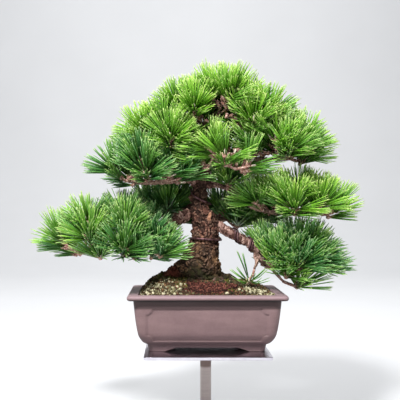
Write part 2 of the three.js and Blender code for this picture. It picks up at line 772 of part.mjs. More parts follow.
// Where each spray of a branch is fixed: a little behind the place nearest to its tips, past the
// bare part and apart from the others, on a short stub that leaves the branch at an angle. The
// last spray carries on straight from the branch's end.
function stubsOfBranch(name, line) {
  const { bare, dome } = BRANCHES[name];
  const tips = domeTips(dome).map((tip) => keepOffBranch(tip, line));
  const groups = groupTips(tips, line.points[0]);
  const sorted = groups
    .map((tips) => ({ tips, mean: meanOf(tips.map((tip) => tip.place)) }))
    .map((group) => ({ ...group, share: nearestShare(line, group.mean) }))
    .sort((a, b) => a.share - b.share);
  const length = line.points[0].distanceTo(line.points[line.points.length - 1]);
  const spacing = Math.min(STUB_SPACING / length, (1 - bare) / sorted.length);
  let share = bare - spacing;
  return sorted.map(({ tips: own, mean, share: nearest }, i) => {
    const spray = { name: `${name}_${i + 1}`, branch: name, tips: own };
    if (i === sorted.length - 1) {
      const { point, tangent } = placeOnLine(line, 1);
      return { ...spray, direction: tangent, end: point };
    }
    const furthest = 1 - spacing * (sorted.length - 1 - i);
    share = Math.min(furthest, Math.max(share + spacing, nearest - STUB_SETBACK));
    const { point, tangent, radius } = placeOnLine(line, share);
    const towards = mean.clone().sub(point).normalize().add(vec(0, 0, STUB_LIFT)).normalize();
    const across = towards.addScaledVector(tangent, -towards.dot(tangent)).normalize();
    const direction = across.addScaledVector(tangent, STUB_LEAN).normalize();
    const end = point.clone().addScaledVector(direction, radius + STUB_REACH);
    return { ...spray, direction, end, stub: [point, end] };
  });
}

function woodSolid(lines, stubs) {
  const knot = smoothLine(KNOT, KNOT.length - 1);
  const solids = [trunkWithRoots(TRUNK.length, 0), tube(knot.points, knot.radii, ROOT_SIDES)];
  for (const { points, radii } of Object.values(lines)) {
    solids.push(tube(points, radii, BRANCH_SIDES));
  }
  for (const { stub } of stubs.filter((one) => one.stub)) {
    solids.push(tube(stub, [STUB_RADIUS, STUB_RADIUS], SHOOT_SIDES));
  }
  return union(solids);
}

function woodRods(lines, stubs) {
  const knot = smoothLine(KNOT, KNOT.length - 1);
  const rods = rodsAlong(TRUNK_LINE.points, TRUNK_LINE.radii, "trunk");
  rods.push(...rodsAlong(knot.points, knot.radii, "trunk"));
  for (const [name, { points, radii }] of Object.entries(lines)) {
    rods.push(...rodsAlong(points, radii, name));
  }
  for (const { stub, name } of stubs.filter((one) => one.stub)) {
    rods.push(rod(...stub, STUB_RADIUS, STUB_RADIUS, `${name}_stub`));
  }
  return rods;
}

// Sprays

// The shoots of one spray, with their lines: the first runs from the stub through the fork to its
// tip, and the others start from the fork.
function sprayShoots(stub, loosen) {
  const start = stub.end.clone().addScaledVector(stub.direction, JOINT_GAP);
  const tips = stub.tips.map((tip) => {
    const place = tip.place.clone().add(randomVec(loosen));
    return { ...tip, place, base: place.clone().addScaledVector(tip.aim, -CORE_LENGTH) };
  });
  const towards = meanOf(tips.map((tip) => tip.base)).sub(start);
  const stemLength = Math.max(SHORTEST_STEM, FORK_SHARE * towards.length()) + 0.3 * loosen;
  const fork = start.clone().addScaledVector(stub.direction, stemLength);
  return tips.map((tip, i) => {
    const bend = tip.base.clone().addScaledVector(tip.aim, -BEND_SHARE * tip.base.distanceTo(fork));
    const leave = fork.clone().addScaledVector(stub.direction, -i);
    const points = new THREE.QuadraticBezierCurve3(leave, bend, tip.base).getPoints(SHOOT_STEPS);
    if (i === 0) points.unshift(start);
    const startRadius = START_RADII[Math.min(i, 1)];
    return { ...tip, name: `${stub.name}_shoot_${i}`, points, startRadius, turn: SHOOT_TURN * i };
  });
}

function sprayRods(shoots) {
  return shoots.flatMap(({ name, points, place }) => {
    const line = [...points, place];
    return rodsAlong(line, line.map(() => SHOOT_RADIUS), name);
  });
}

// A spray's twigs are drawn again, a little looser each time, until they clear all other wood.
function placeSpray(stub, rods) {
  for (let attempt = 0; attempt < TWIG_TRIES; attempt++) {
    const shoots = sprayShoots(stub, TWIG_LOOSENING * attempt);
    const own = sprayRods(shoots);
    const carrier = stub.stub ? `${stub.name}_stub` : stub.branch;
    const [first, ...later] = own;
    if (isClear(first, ofOthers(rods, carrier), TWIG_CLEARANCE) &&
        later.every((one) => isClear(one, rods, TWIG_CLEARANCE))) {
      rods.push(...own);
      return shoots;
    }
  }
  throw new Error(`no clear place for the twigs of ${stub.name}`);
}

// One shoot: a twig, a slim core of two bands and a bud. The rings of the core are turned against
// each other, so that each of its faces looks its own way, and needles are raised from the faces.
function shootRings({ points, place, aim, startRadius, turn }) {
  const base = points[points.length - 1];
  const line = [...points, base.clone().addScaledVector(aim, BAND_LENGTH)];
  line.push(base.clone().addScaledVector(aim, 2 * BAND_LENGTH));
  const frames = framesAlong(line);
  const rings = frames.map((frame, i) => {
    const ownTurn = turn + Math.max(0, i - points.length + 1) / 2;
    return ringRound(frame, i === 0 ? startRadius : SHOOT_RADIUS, SHOOT_SIDES, ownTurn);
  });
  return { rings, start: points[0], bud: place, coreStart: points.length - 1 };
}

// The faces of a shoot: the plain ones, and those of the core's bands and bud that can carry a
// needle, with how far a needle there leans from the shoot's axis.
function shootFaces({ rings, start, bud, coreStart }) {
  const plain = [];
  const rooted = [];
  const last = rings.length - 1;
  for (let i = 0; i < SHOOT_SIDES; i++) {
    const j = (i + 1) % SHOOT_SIDES;
    plain.push([start, rings[0][j], rings[0][i]]);
    for (let r = 0; r < coreStart; r++) {
      plain.push([rings[r][i], rings[r][j], rings[r + 1][j]]);
      plain.push([rings[r][i], rings[r + 1][j], rings[r + 1][i]]);
    }
    for (let r = coreStart; r < last; r++) {
      const lean = r === coreStart ? LOW_LEAN : MIDDLE_LEAN;
      const lower = [rings[r][i], rings[r][j], rings[r + 1][i]];
      const upper = [rings[r][j], rings[r + 1][j], rings[r + 1][i]];
      rooted.push({ corners: lower, lean, row: 0 }, { corners: upper, lean, row: 1 });
    }
    rooted.push({ corners: [rings[last][i], rings[last][j], bud], lean: BUD_LEAN, row: 0 });
  }
  return { plain, rooted };
}

function normalOf([a, b, c]) {
  return b.clone().sub(a).cross(c.clone().sub(a)).normalize();
}

function edgesOf(corners) {
  return corners.flatMap((a, i) => corners.slice(i + 1).map((b) => b.clone().sub(a)));
}

function sideNormals(corners) {
  const leftOut = corners.length === 3 ? [null] : corners;
  return leftOut.map((one) => normalOf(corners.filter((corner) => corner !== one)));
}

function isParted(first, second, axis) {
  const length = axis.length();
  if (length < TOUCH) return false;
  const firstAlong = first.map((corner) => corner.dot(axis) / length);
  const secondAlong = second.map((corner) => corner.dot(axis) / length);
  return Math.max(...firstAlong) < Math.min(...secondAlong) + TOUCH ||
    Math.max(...secondAlong) < Math.min(...firstAlong) + TOUCH;
}

// Whether a plane parts two shapes, each given by the three or four corners that span it. Shapes
// that only touch are apart.
function areApart(first, second) {
  const sides = [...sideNormals(first), ...sideNormals(second)];
  if (sides.some((axis) => isParted(first, second, axis))) return true;
  const secondEdges = edgesOf(second);
  return edgesOf(first).some((a) =>
    secondEdges.some((b) => isParted(first, second, a.clone().cross(b))),
  );
}

function isLow({ x, y, z }) {
  const overPot = Math.abs(x) < RIM_WIDTH / 2 + NEEDLE_TO_SOIL;
  return overPot && z < soilHeight(x, y) + NEEDLE_TO_SOIL;
}

// A needle from a face: it leans out from the shoot's axis, a little upwards, and keeps clear of
// what stands already and of its own shoot. Gives its tip, or nothing where there is no room.
function needleTip(face, { aim, droop }, others, ownNeedles, ownShapes) {
  const normal = normalOf(face.corners);
  const outward = normal.clone().addScaledVector(aim, -normal.dot(aim)).normalize();
  const root = meanOf(face.corners);
  const lowest = -STEEPEST_FALL - droop / 2;
  for (let attempt = 0; attempt < NEEDLE_TRIES; attempt++) {
    const lean = face.lean + between(-LEAN_SPREAD, LEAN_SPREAD);
    const swing = between(-SIDE_SPREAD, SIDE_SPREAD);
    const sideways = aim.clone().cross(outward).multiplyScalar(swing);
    const direction = aim
      .clone()
      .multiplyScalar(Math.cos(lean))
      .addScaledVector(outward, Math.sin(lean))
      .add(sideways)
      .add(vec(0, 0, NEEDLE_LIFT))
      .normalize();
    const tip = root.clone().addScaledVector(direction, between(...NEEDLE_LENGTHS));
    const tooFlat = direction.dot(normal) < LEAST_RISE_FROM_FACE;
    if (tooFlat || direction.z < lowest || isLow(tip)) continue;
    const free = root.clone().addScaledVector(direction, FREE_FROM);
    const shaft = rod(root, tip, NEEDLE_ROOT, NEEDLE_TIP);
    const freeShaft = rod(free, tip, NEEDLE_ROOT, NEEDLE_TIP);
    const blade = [...face.corners, tip];
    if (isClear(shaft, others, GAP) && isClear(freeShaft, ownNeedles, NEEDLE_GAP) &&
        ownShapes.every((shape) => areApart(blade, shape))) {
      ownNeedles.push(freeShaft);
      ownShapes.push(blade);
      return tip;
    }
  }
  return null;
}

function shootGeometry(shoot, standing) {
  const { plain, rooted } = shootFaces(shootRings(shoot));
  const others = ofOthers(standing, shoot.name);
  const ownNeedles = [];
  const ownShapes = [...plain, ...rooted.map(({ corners }) => corners)];
  const faces = [...plain];
  const firstRow = random() < 0.5 ? 0 : 1;
  const order = [...rooted].sort((a, b) => Math.abs(a.row - firstRow) - Math.abs(b.row - firstRow));
  for (const face of order) {
    const wanted = ownNeedles.length < NEEDLES_PER_SHOOT;
    const tip = wanted ? needleTip(face, shoot, others, ownNeedles, ownShapes) : null;
    const [a, b, c] = face.corners;
    if (tip) {
      faces.push([a, b, tip], [b, c, tip], [c, a, tip]);
      standing.push(rod(meanOf(face.corners), tip, NEEDLE_ROOT, NEEDLE_TIP, shoot.name));
    } else {
      faces.push(face.corners);
    }
  }
  return new THREE.BufferGeometry().setFromPoints(faces.flat());
}

function spraySolid(shoots, standing) {
  return union(shoots.map((shoot) => solidOf(shootGeometry(shoot, standing))));
}

function wireRods() {
  return Object.entries(WIRES).flatMap(([name, wire]) => {
    const points = wirePoints(wire);
    return rodsAlong(points, points.map(() => WIRE_RADIUS), name);
  });
}

function treeMeshes() {
  const lines = branchLines();
  const stubs = Object.entries(lines).flatMap(([name, line]) => stubsOfBranch(name, line));
  const standing = [...woodRods(lines, stubs), ...wireRods()];
  const sprays = stubs.map((stub) => ({ name: stub.name, shoots: placeSpray(stub, standing) }));
  return [
    meshOf("wood", woodSolid(lines, stubs), BARK),
    ...sprays.map(({ name, shoots }) =>
      meshOf(`spray_${name}`, spraySolid(shoots, standing), NEEDLE),
    ),
  ];
}

// Training wires

function wirePoints({ round, from, to, turns, start }) {
  const line = smoothLine(round, WIRE_LINE_STEPS);
  const steps = Math.ceil(Math.abs(turns) * WIRE_STEPS_PER_TURN);
  const slack = 1 / Math.cos(Math.PI / WIRE_STEPS_PER_TURN);
  const places = Array.from({ length: steps + 1 }, (unused, i) =>
    placeOnLine(line, from + ((to - from) * i) / steps),
  );
  const frames = framesAlong(places.map(({ point }) => point));
  return frames.map((frame, i) => {
    const angle = start + (2 * Math.PI * turns * i) / steps;
    return pointRound(frame, (places[i].radius + GAP + WIRE_RADIUS) * slack, angle);
  });
}

function wireMeshes() {
  return Object.entries(WIRES).map(([name, wire]) => {
    const points = wirePoints(wire);
    return meshOf(name, tube(points, points.map(() => WIRE_RADIUS), WIRE_SIDES), COPPER);
  });
}

const group = new THREE.Group();
group.add(...standMeshes());
group.add(potMesh());
group.add(screenMesh("drain_screen_left", -DRAIN_SPACING / 2));
group.add(screenMesh("drain_screen_right", DRAIN_SPACING / 2));
group.add(...soilMeshes());
group.add(...treeMeshes());
group.add(...wireMeshes());

export default group;
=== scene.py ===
"""Looks of a black pine bonsai in a clay pot on a small display stand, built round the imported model.

Lengths in this script are millimetres until a mesh is made, which is in metres. Colours are given
as they look on a screen, from 0 to 255.
"""

import math

import bmesh
import bpy
import numpy as np
from mathutils import Matrix, Vector, noise
from mathutils.bvhtree import BVHTree


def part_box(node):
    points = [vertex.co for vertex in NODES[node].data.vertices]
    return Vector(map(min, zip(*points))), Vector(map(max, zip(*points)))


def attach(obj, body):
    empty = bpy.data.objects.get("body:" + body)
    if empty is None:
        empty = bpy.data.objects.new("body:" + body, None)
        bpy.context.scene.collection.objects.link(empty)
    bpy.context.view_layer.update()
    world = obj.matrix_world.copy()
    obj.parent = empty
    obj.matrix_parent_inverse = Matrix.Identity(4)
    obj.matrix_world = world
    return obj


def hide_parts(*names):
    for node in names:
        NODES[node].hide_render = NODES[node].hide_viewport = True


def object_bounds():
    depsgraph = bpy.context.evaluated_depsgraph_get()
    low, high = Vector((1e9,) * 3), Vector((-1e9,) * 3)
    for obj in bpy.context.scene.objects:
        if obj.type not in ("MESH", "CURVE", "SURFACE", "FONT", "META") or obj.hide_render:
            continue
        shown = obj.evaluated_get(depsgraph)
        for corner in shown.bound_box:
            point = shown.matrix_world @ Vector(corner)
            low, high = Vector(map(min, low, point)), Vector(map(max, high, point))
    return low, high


MM = 0.001
SEED = 1871

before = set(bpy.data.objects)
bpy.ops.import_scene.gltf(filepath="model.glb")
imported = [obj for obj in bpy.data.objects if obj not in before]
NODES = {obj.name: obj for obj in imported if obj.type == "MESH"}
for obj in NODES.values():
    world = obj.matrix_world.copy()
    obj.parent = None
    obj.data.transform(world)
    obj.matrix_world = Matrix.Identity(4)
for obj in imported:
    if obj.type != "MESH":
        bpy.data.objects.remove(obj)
cad_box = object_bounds()
SPRAYS = [name for name in NODES if name.startswith("spray_")]
WIRES = [name for name in NODES if name.startswith("wire_")]
CAD_LOW, CAD_HIGH = (np.array(corner) / MM for corner in cad_box)
rng = np.random.default_rng(SEED)


# Small helpers


def smoothstep(low, high, value):
    share = np.clip((value - low) / (high - low), 0, 1)
    return share * share * (3 - 2 * share)


def node_box(name):
    """A node's lowest and highest corner in millimetres."""
    low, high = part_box(name)
    return np.array(low) / MM, np.array(high) / MM


def linear(red, green, blue):
    """A screen colour as the shader wants it."""
    shares = (c / 255 for c in (red, green, blue))
    return tuple(c / 12.92 if c < 0.04045 else ((c + 0.055) / 1.055) ** 2.4 for c in shares) + (1,)


def placed(name, data):
    """An object with this data, put into the scene."""
    thing = bpy.data.objects.new(name, data)
    bpy.context.scene.collection.objects.link(thing)
    return thing


def mesh_from(shape, name):
    """A mesh from a bmesh, which is freed."""
    mesh = bpy.data.meshes.new(name)
    shape.to_mesh(mesh)
    shape.free()
    return mesh


def modified_mesh(thing):
    """A copy of an object's mesh as its modifiers leave it."""
    view = bpy.context.evaluated_depsgraph_get()
    return bpy.data.meshes.new_from_object(thing.evaluated_get(view))


def set_smooth(mesh, smooth=True):
    mesh.polygons.foreach_set("use_smooth", [smooth] * len(mesh.polygons))


def set_points(mesh, points):
    """Moves a mesh's points to these places in millimetres."""
    mesh.vertices.foreach_set("co", (points * MM).astype(np.float32).ravel())


def set_attribute(mesh, name, values):
    layer = mesh.attributes.new(name, "FLOAT", "POINT")
    layer.data.foreach_set("value", np.asarray(values, dtype=np.float32))


def finish_piece(name, mesh, material, replaced=()):
    """A mesh as a piece of the object: its material, its body, and the nodes it replaces."""
    piece = placed(name, mesh)
    mesh.materials.clear()
    mesh.materials.append(material)
    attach(piece, "root")
    if replaced:
        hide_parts(*replaced)
    return piece


def add_piece(name, points, faces, material, slot, replaced=(), smooth=True, **layers):
    """A piece of the object from points in millimetres and faces. Its further values are
    attributes of its points."""
    mesh = bpy.data.meshes.new(name)
    mesh.from_pydata(np.asarray(points) * MM, [], faces)
    set_smooth(mesh, smooth)
    for layer, values in layers.items():
        set_attribute(mesh, layer, values)
    return finish_piece(name, mesh, material, replaced)


def merged_node(name):
    """A node's mesh with its shared corners joined, as a bmesh in metres."""
    shape = bmesh.new()
    shape.from_mesh(NODES[name].data)
    bmesh.ops.remove_doubles(shape, verts=shape.verts, dist=1e-6)
    return shape


def unit(vectors):
    return vectors / np.linalg.norm(vectors, axis=-1, keepdims=True)


def around(axes, angles):
    """Directions at right angles to axes, turned round them by angles."""
    helper = np.where(np.abs(axes[..., 2:3]) < 0.9, [[0, 0, 1.0]], [[1.0, 0, 0]])
    side = unit(np.cross(helper, axes))
    angles = np.asarray(angles)[..., None]
    return np.cos(angles) * side + np.sin(angles) * np.cross(axes, side)


def repeated(faces, count, size):
    """The triangles of a shape with size points, for a row of such shapes."""
    shifts = (np.arange(count) * size)[:, None, None]
    return (np.array(faces)[None] + shifts).reshape(-1, 3).tolist()


def tree_of(*names):
    """A search tree over some nodes' surfaces, in metres."""
    points = []
    faces = []
    for name in names:
        mesh = NODES[name].data
        start = len(points)
        points.extend(v.co.copy() for v in mesh.vertices)
        faces.extend([start + i for i in p.vertices] for p in mesh.polygons)
    return BVHTree.FromPolygons(points, faces)


def remeshed(shape, voxel, smoothing, name):
    """A bmesh, in metres, as an even mesh of quads."""
    source = placed(name, mesh_from(shape, name))
    remesh = source.modifiers.new("even", "REMESH")
    remesh.mode = "VOXEL"
    remesh.voxel_size = voxel * MM
    smooth = source.modifiers.new("soften", "SMOOTH")
    smooth.factor = 0.5
    smooth.iterations = smoothing
    result = modified_mesh(source)
    result.name = name
    bpy.data.objects.remove(source)
    return result


def mesh_arrays(mesh):
    """A mesh's points in millimetres, its normals and its edges."""
    points, normals = np.empty((2, len(mesh.vertices), 3), np.float32)
    mesh.vertices.foreach_get("co", points.ravel())
    mesh.vertices.foreach_get("normal", normals.ravel())
    edges = np.empty((len(mesh.edges), 2), np.int32)
    mesh.edges.foreach_get("vertices", edges.ravel())
    return points / MM, normals, edges


def spread_evenly(values, edges, rounds):
    """Values at points, averaged with their neighbours' a number of times."""
    count = len(values)
    first, second = edges.T
    degree = np.bincount(first, minlength=count) + np.bincount(second, minlength=count) + 1
    for _ in range(rounds):
        total = values + np.bincount(first, values[second], count)
        total += np.bincount(second, values[first], count)
        values = total / degree
    return values


def window(value, start, full, fading, end):
    """1 from full to fading, and 0 before the start and after the end."""
    return smoothstep(start, full, value) * (1 - smoothstep(fading, end, value))


def decimated(mesh, most_triangles):
    """The mesh with at most that many triangles."""
    mesh.calc_loop_triangles()
    share = most_triangles / len(mesh.loop_triangles)
    if share >= 1:
        return mesh
    source = placed(mesh.name, mesh)
    source.modifiers.new("fewer", "DECIMATE").ratio = share
    result = modified_mesh(source)
    bpy.data.objects.remove(source)
    return result


# Materials


class Look:
    """A node material that is being put together. Sizes are in millimetres."""

    def __init__(self, name, roughness=0.8, metallic=0.0, specular=0.5):
        self.material = bpy.data.materials.new(name)
        self.material.use_nodes = True
        self.tree = self.material.node_tree
        self.shader = self.tree.nodes["Principled BSDF"]
        self.shader.inputs["Roughness"].default_value = roughness
        self.shader.inputs["Metallic"].default_value = metallic
        self.shader.inputs["Specular IOR Level"].default_value = specular
        self.place = self.add("ShaderNodeTexCoord").outputs["Object"]

    def add(self, kind, **settings):
        node = self.tree.nodes.new(kind)
        for key, value in settings.items():
            setattr(node, key, value)
        return node

    def feed(self, socket, value):
        if isinstance(value, bpy.types.NodeSocket):
            self.tree.links.new(value, socket)
        else:
            socket.default_value = value

    def noise(self, size, detail=4, roughness=0.55, stretch=None):
        """Noise with patches of a size, between 0 and 1. A low stretch draws them out that way."""
        node = self.add("ShaderNodeTexNoise")
        node.inputs["Scale"].default_value = 1 / (size * MM)
        node.inputs["Detail"].default_value = detail
        node.inputs["Roughness"].default_value = roughness
        place = self.place
        if stretch:
            mapping = self.add("ShaderNodeMapping")
            mapping.inputs["Scale"].default_value = stretch
            self.feed(mapping.inputs["Vector"], place)
            place = mapping.outputs["Vector"]
        self.feed(node.inputs["Vector"], place)
        return node.outputs["Fac"]

    def cells(self, size):
        """The distance from the middle of the nearest of many cells of a size."""
        node = self.add("ShaderNodeTexVoronoi")
        node.inputs["Scale"].default_value = 1 / (size * MM)
        self.feed(node.inputs["Vector"], self.place)
        return node.outputs["Distance"]

    def attribute(self, name):
        return self.add("ShaderNodeAttribute", attribute_name=name).outputs["Fac"]

    def math(self, operation, first, second):
        node = self.add("ShaderNodeMath", operation=operation)
        self.feed(node.inputs[0], first)
        self.feed(node.inputs[1], second)
        return node.outputs[0]

    def times(self, first, second):
        return self.math("MULTIPLY", first, second)

    def weighted(self, *parts):
        """The sum of values times their weights."""
        total, *others = (self.times(value, weight) for value, weight in parts)
        for other in others:
            total = self.math("ADD", total, other)
        return total

    def ramp(self, factor, colours, places=(0.3, 0.5, 0.7)):
        """A colour by factor, which reaches each of these colours at its place."""
        node = self.add("ShaderNodeValToRGB")
        ramp = node.color_ramp
        while len(ramp.elements) < len(colours):
            ramp.elements.new(0.5)
        for element, place, colour in zip(ramp.elements, places, colours):
            element.position = place
            element.color = linear(*colour)
        self.feed(node.inputs["Fac"], factor)
        return node.outputs["Color"]

    def levels(self, factor, low, high, out_low=0.0, out_high=1.0):
        """A value whose range from low to high becomes that from out_low to out_high."""
        node = self.add("ShaderNodeMapRange")
        for key, value in zip(range(1, 5), (low, high, out_low, out_high)):
            node.inputs[key].default_value = value
        self.feed(node.inputs[0], factor)
        return node.outputs[0]

    def mix(self, factor, first, second):
        node = self.add("ShaderNodeMix", data_type="RGBA")
        self.feed(node.inputs["Factor"], factor)
        for socket, colour in ((6, first), (7, second)):
            self.feed(node.inputs[socket], linear(*colour) if isinstance(colour, tuple) else colour)
        return node.outputs[2]

    def over(self, base, colour, value, *levels):
        """A colour laid over the base, as strongly as the levels of a value say."""
        return self.mix(self.levels(value, *levels), base, colour)

    def marked(self, base, colour, name, share):
        """A colour laid over the base where an attribute says so."""
        return self.mix(self.times(self.attribute(name), share), base, colour)

    def bump(self, height, depth, strength=1.0):
        """Relief of a depth in millimetres from a height between 0 and 1."""
        node = self.add("ShaderNodeBump")
        node.inputs["Strength"].default_value = strength
        node.inputs["Distance"].default_value = depth * MM
        self.feed(node.inputs["Height"], height)
        normal = self.shader.inputs["Normal"]
        if normal.is_linked:
            self.feed(node.inputs["Normal"], normal.links[0].from_socket)
        self.feed(normal, node.outputs["Normal"])

    def finished(self, colour, *bumps, shine=None):
        """The material with this colour, these reliefs, and roughness by the levels of a value."""
        self.feed(self.shader.inputs["Base Color"], colour)
        if shine:
            self.feed(self.shader.inputs["Roughness"], self.levels(*shine))
        for bump in bumps:
            self.bump(*bump)
        return self.material


def polished_steel():
    look = Look("polished_steel", metallic=1.0)
    streaks = look.noise(6, detail=3, stretch=(1, 0.05, 1))
    body = look.mix(streaks, (196, 190, 200), (232, 228, 238))
    return look.finished(body, (streaks, 0.02), shine=(look.noise(20), 0.3, 0.7, 0.1, 0.24))


def satin_post():
    """Satin metal with faint rings, and a brown painted shadow of the plate just under it."""
    look = Look("satin_post", metallic=0.7)
    rings = look.noise(3, detail=3, stretch=(0.1, 0.1, 1))
    body = look.mix(rings, (164, 152, 148), (194, 182, 178))
    # The plate's painted shadow, brown, on the post just under it.
    body = look.marked(body, (96, 70, 62), "near_plate", 0.75)
    return look.finished(body, (rings, 0.03), shine=(rings, 0.3, 0.7, 0.36, 0.5))


def dull_foot():
    look = Look("foot_steel", metallic=0.9)
    grain = look.noise(2.5, detail=5)
    body = look.mix(grain, (120, 116, 118), (158, 152, 154))
    return look.finished(body, (grain, 0.03), shine=(grain, 0.3, 0.7, 0.34, 0.5))


def unglazed_clay():
    """Mauve-brown clay with level wiping marks and dark specks, paler on the rim as wear and painted
    highlight, and darker with painted shade under the rim and low on the wall."""
    look = Look("unglazed_clay", roughness=0.62, specular=0.4)
    broad = look.noise(38, detail=5, roughness=0.6)
    fine = look.noise(1.1, detail=3)
    wiped = look.noise(9, detail=4, stretch=(0.14, 0.14, 1))
    shade_depth = look.attribute("aged")
    body = look.ramp(broad, [(106, 83, 84), (117, 93, 94), (128, 103, 103)], (0.3, 0.5, 0.72))
    body = look.over(body, (140, 115, 114), wiped, 0.45, 0.75, 0.0, 0.4)
    body = look.over(body, (154, 130, 128), fine, 0.4, 0.75, 0.0, 0.22)
    body = look.over(body, (92, 66, 62), look.cells(2.6), 0.0, 0.14, 0.4, 0.0)
    # The rim is paler, partly from wear and partly as a painted highlight.
    body = look.marked(body, (160, 134, 140), "worn", 0.6)
    # Painted shade under the rim and low on the wall, and a near-black painted shadow in the joint
    # under the rim.
    body = look.over(body, (66, 48, 48), shade_depth, 0.0, 1.0, 0.0, 0.8)
    body = look.over(body, (12, 8, 8), shade_depth, 1.0, 2.0, 0.0, 0.95)
    reliefs = (fine, 0.12, 0.7), (look.noise(7, detail=3), 0.3, 0.5)
    return look.finished(body, *reliefs, shine=(broad, 0.3, 0.7, 0.56, 0.72))


def black_plastic():
    look = Look("black_plastic", roughness=0.55)
    return look.finished(look.mix(look.noise(4), (24, 25, 24), (40, 42, 40)), (look.noise(0.8), 0.05))


def dark_earth():
    look = Look("dark_earth", roughness=0.95, specular=0.2)
    broad = look.noise(14, detail=6, roughness=0.7)
    body = look.ramp(broad, [(40, 32, 22), (66, 54, 38), (96, 80, 54)])
    return look.finished(body, (look.cells(2.4), 1.2), (look.noise(1.0, detail=4), 0.5))


def grain_look(name, dark, middle, pale, pore=0.8):
    """Grains of a kind, each with its own shade, pitted by pores."""
    look = Look(name, roughness=0.9, specular=0.25)
    shade = look.weighted((look.noise(1.6, detail=4), 0.5), (look.attribute("tint"), 0.62))
    body = look.ramp(shade, [dark, middle, pale], (0.2, 0.5, 0.82))
    return look.finished(body, (look.noise(pore, detail=4), 0.35))


def moss_look():
    look = Look("moss", roughness=0.95, specular=0.15)
    shade = look.noise(5, detail=5, roughness=0.7)
    body = look.ramp(shade, [(44, 44, 20), (78, 78, 34), (118, 112, 56)])
    return look.finished(body, (look.noise(0.7, detail=3), 0.5))


def bark_look():
    """Rough bark: dark in the cracks, partly its own colour and partly painted shade, each plate with
    its own brown, grey and pinkish flakes on top, tan low on the trunk, and darker and mossy at its
    foot. Raised bark gets a painted highlight and its hollows painted shade. Young wood is paler and
    pinkish."""
    look = Look("bark", roughness=0.9, specular=0.25)
    fine = look.noise(1.6, detail=5, roughness=0.7)
    middle = look.noise(5, detail=4, roughness=0.7)
    shade = look.weighted((look.attribute("own"), 0.45), (fine, 0.3), (middle, 0.35))
    upper, lower, young = (
        look.ramp(shade, colours, (0.22, 0.42, 0.6, 0.82))
        for colours in (
            ((44, 26, 20), (78, 47, 38), (112, 74, 61), (158, 118, 100)),
            ((40, 27, 17), (74, 52, 34), (110, 80, 54), (160, 124, 88)),
            ((80, 53, 46), (118, 85, 76), (154, 120, 110), (202, 172, 160)),
        )
    )
    base = look.marked(upper, lower, "low", 1)
    base = look.marked(base, young, "thin", 1)
    base = look.over(base, (178, 144, 132), fine, 0.58, 0.74, 0.0, 0.4)
    peeling = look.mix(look.levels(fine, 0.35, 0.65), (158, 116, 100), (226, 196, 176))
    base = look.marked(base, peeling, "slender", 0.6)
    relief = look.attribute("relief")
    # Painted highlight on raised bark, then painted shade in its hollows.
    base = look.over(base, (190, 152, 128), relief, 0.6, 1.0, 0.0, 0.35)
    base = look.over(base, (34, 22, 16), relief, 0.0, 0.45, 0.6, 0.0)
    base = look.over(base, (44, 32, 22), look.noise(20, detail=4), 0.46, 0.7, 0.0, 0.5)
    # The cracks are darkened, partly the bark's own colour and partly painted shade.
    base = look.over(base, (26, 17, 12), look.attribute("plate"), 0.05, 0.55, 0.85, 0.0)
    base = look.marked(base, (26, 21, 14), "foot", 0.65)
    mossy = look.levels(look.noise(8, detail=5), 0.4, 0.6, 0.0, 0.85)
    base = look.marked(base, (48, 48, 22), "foot", mossy)
    base = look.marked(base, (104, 48, 36), "ruddy", 0.7)
    cut = look.ramp(look.noise(3, detail=5), [(110, 72, 54), (168, 120, 94), (212, 166, 138)])
    base = look.marked(base, cut, "scar", 1)
    return look.finished(base, (fine, 0.7), (look.noise(0.7, detail=3), 0.25))


def twig_look():
    look = Look("twig", roughness=0.85, specular=0.3)
    scales = look.cells(1.5)
    colours = [(124, 78, 66), (178, 132, 116), (230, 204, 190)]
    body = look.ramp(look.noise(2.2, detail=4), colours, (0.3, 0.48, 0.66))
    return look.finished(look.over(body, (92, 50, 40), scales, 0.35, 0.75, 0.0, 0.6), (scales, 0.5))


def bud_look():
    look = Look("bud", roughness=0.7, specular=0.4)
    body = look.ramp(look.noise(1.2, detail=3), [(190, 166, 140), (226, 212, 192), (246, 240, 228)])
    return look.finished(body, (look.noise(0.6), 0.15))


def sheath_look():
    look = Look("sheath", roughness=0.75, specular=0.4)
    colours = [(110, 74, 58), (176, 142, 116), (214, 200, 160)]
    body = look.ramp(look.attribute("along"), colours, (0.0, 0.55, 1.0))
    body = look.over(body, (118, 84, 58), look.noise(1.5), 0.4, 0.7, 0.0, 0.5)
    return look.finished(body, (look.noise(0.5), 0.08))


def needle_look():
    """Needles: pale at the root, green along the blade, then lighter with a painted sheen up to pale
    yellow at the point. The tint runs from deep bluish green in the shade to bright yellow-green in
    the light."""
    look = Look("needle", roughness=0.42, specular=0.38)
    along = look.attribute("along")
    patches = look.levels(look.noise(30, detail=3), 0.3, 0.7, -0.1, 0.1)
    tint = look.math("ADD", look.attribute("tint"), patches)
    deep, bright = (
        look.ramp(along, colours, (0.0, 0.14, 0.55, 0.85, 1.0))
        for colours in (
            ((122, 138, 70), (42, 94, 34), (44, 106, 46), (82, 144, 78), (156, 186, 130)),
            ((172, 180, 92), (94, 148, 30), (112, 172, 34), (150, 200, 66), (204, 218, 132)),
        )
    )
    body = look.mix(tint, deep, bright)
    bands = look.noise(0.6, detail=2)
    return look.finished(look.over(body, (190, 214, 160), bands, 0.5, 0.75, 0.0, 0.2))


def wire_look():
    look = Look("training_wire", metallic=0.75)
    shade = look.noise(4, detail=4)
    body = look.ramp(shade, [(70, 44, 44), (98, 68, 70), (132, 102, 106)])
    return look.finished(body, (look.noise(0.8), 0.05), shine=(shade, 0.3, 0.7, 0.36, 0.55))


# Stand

# The steps round a quarter turn of a ring and of a plate's rounded edge, and a plate's corners.
CORNER_STEPS = 8
FILLET_STEPS = 4
PLATE_CORNER = 3
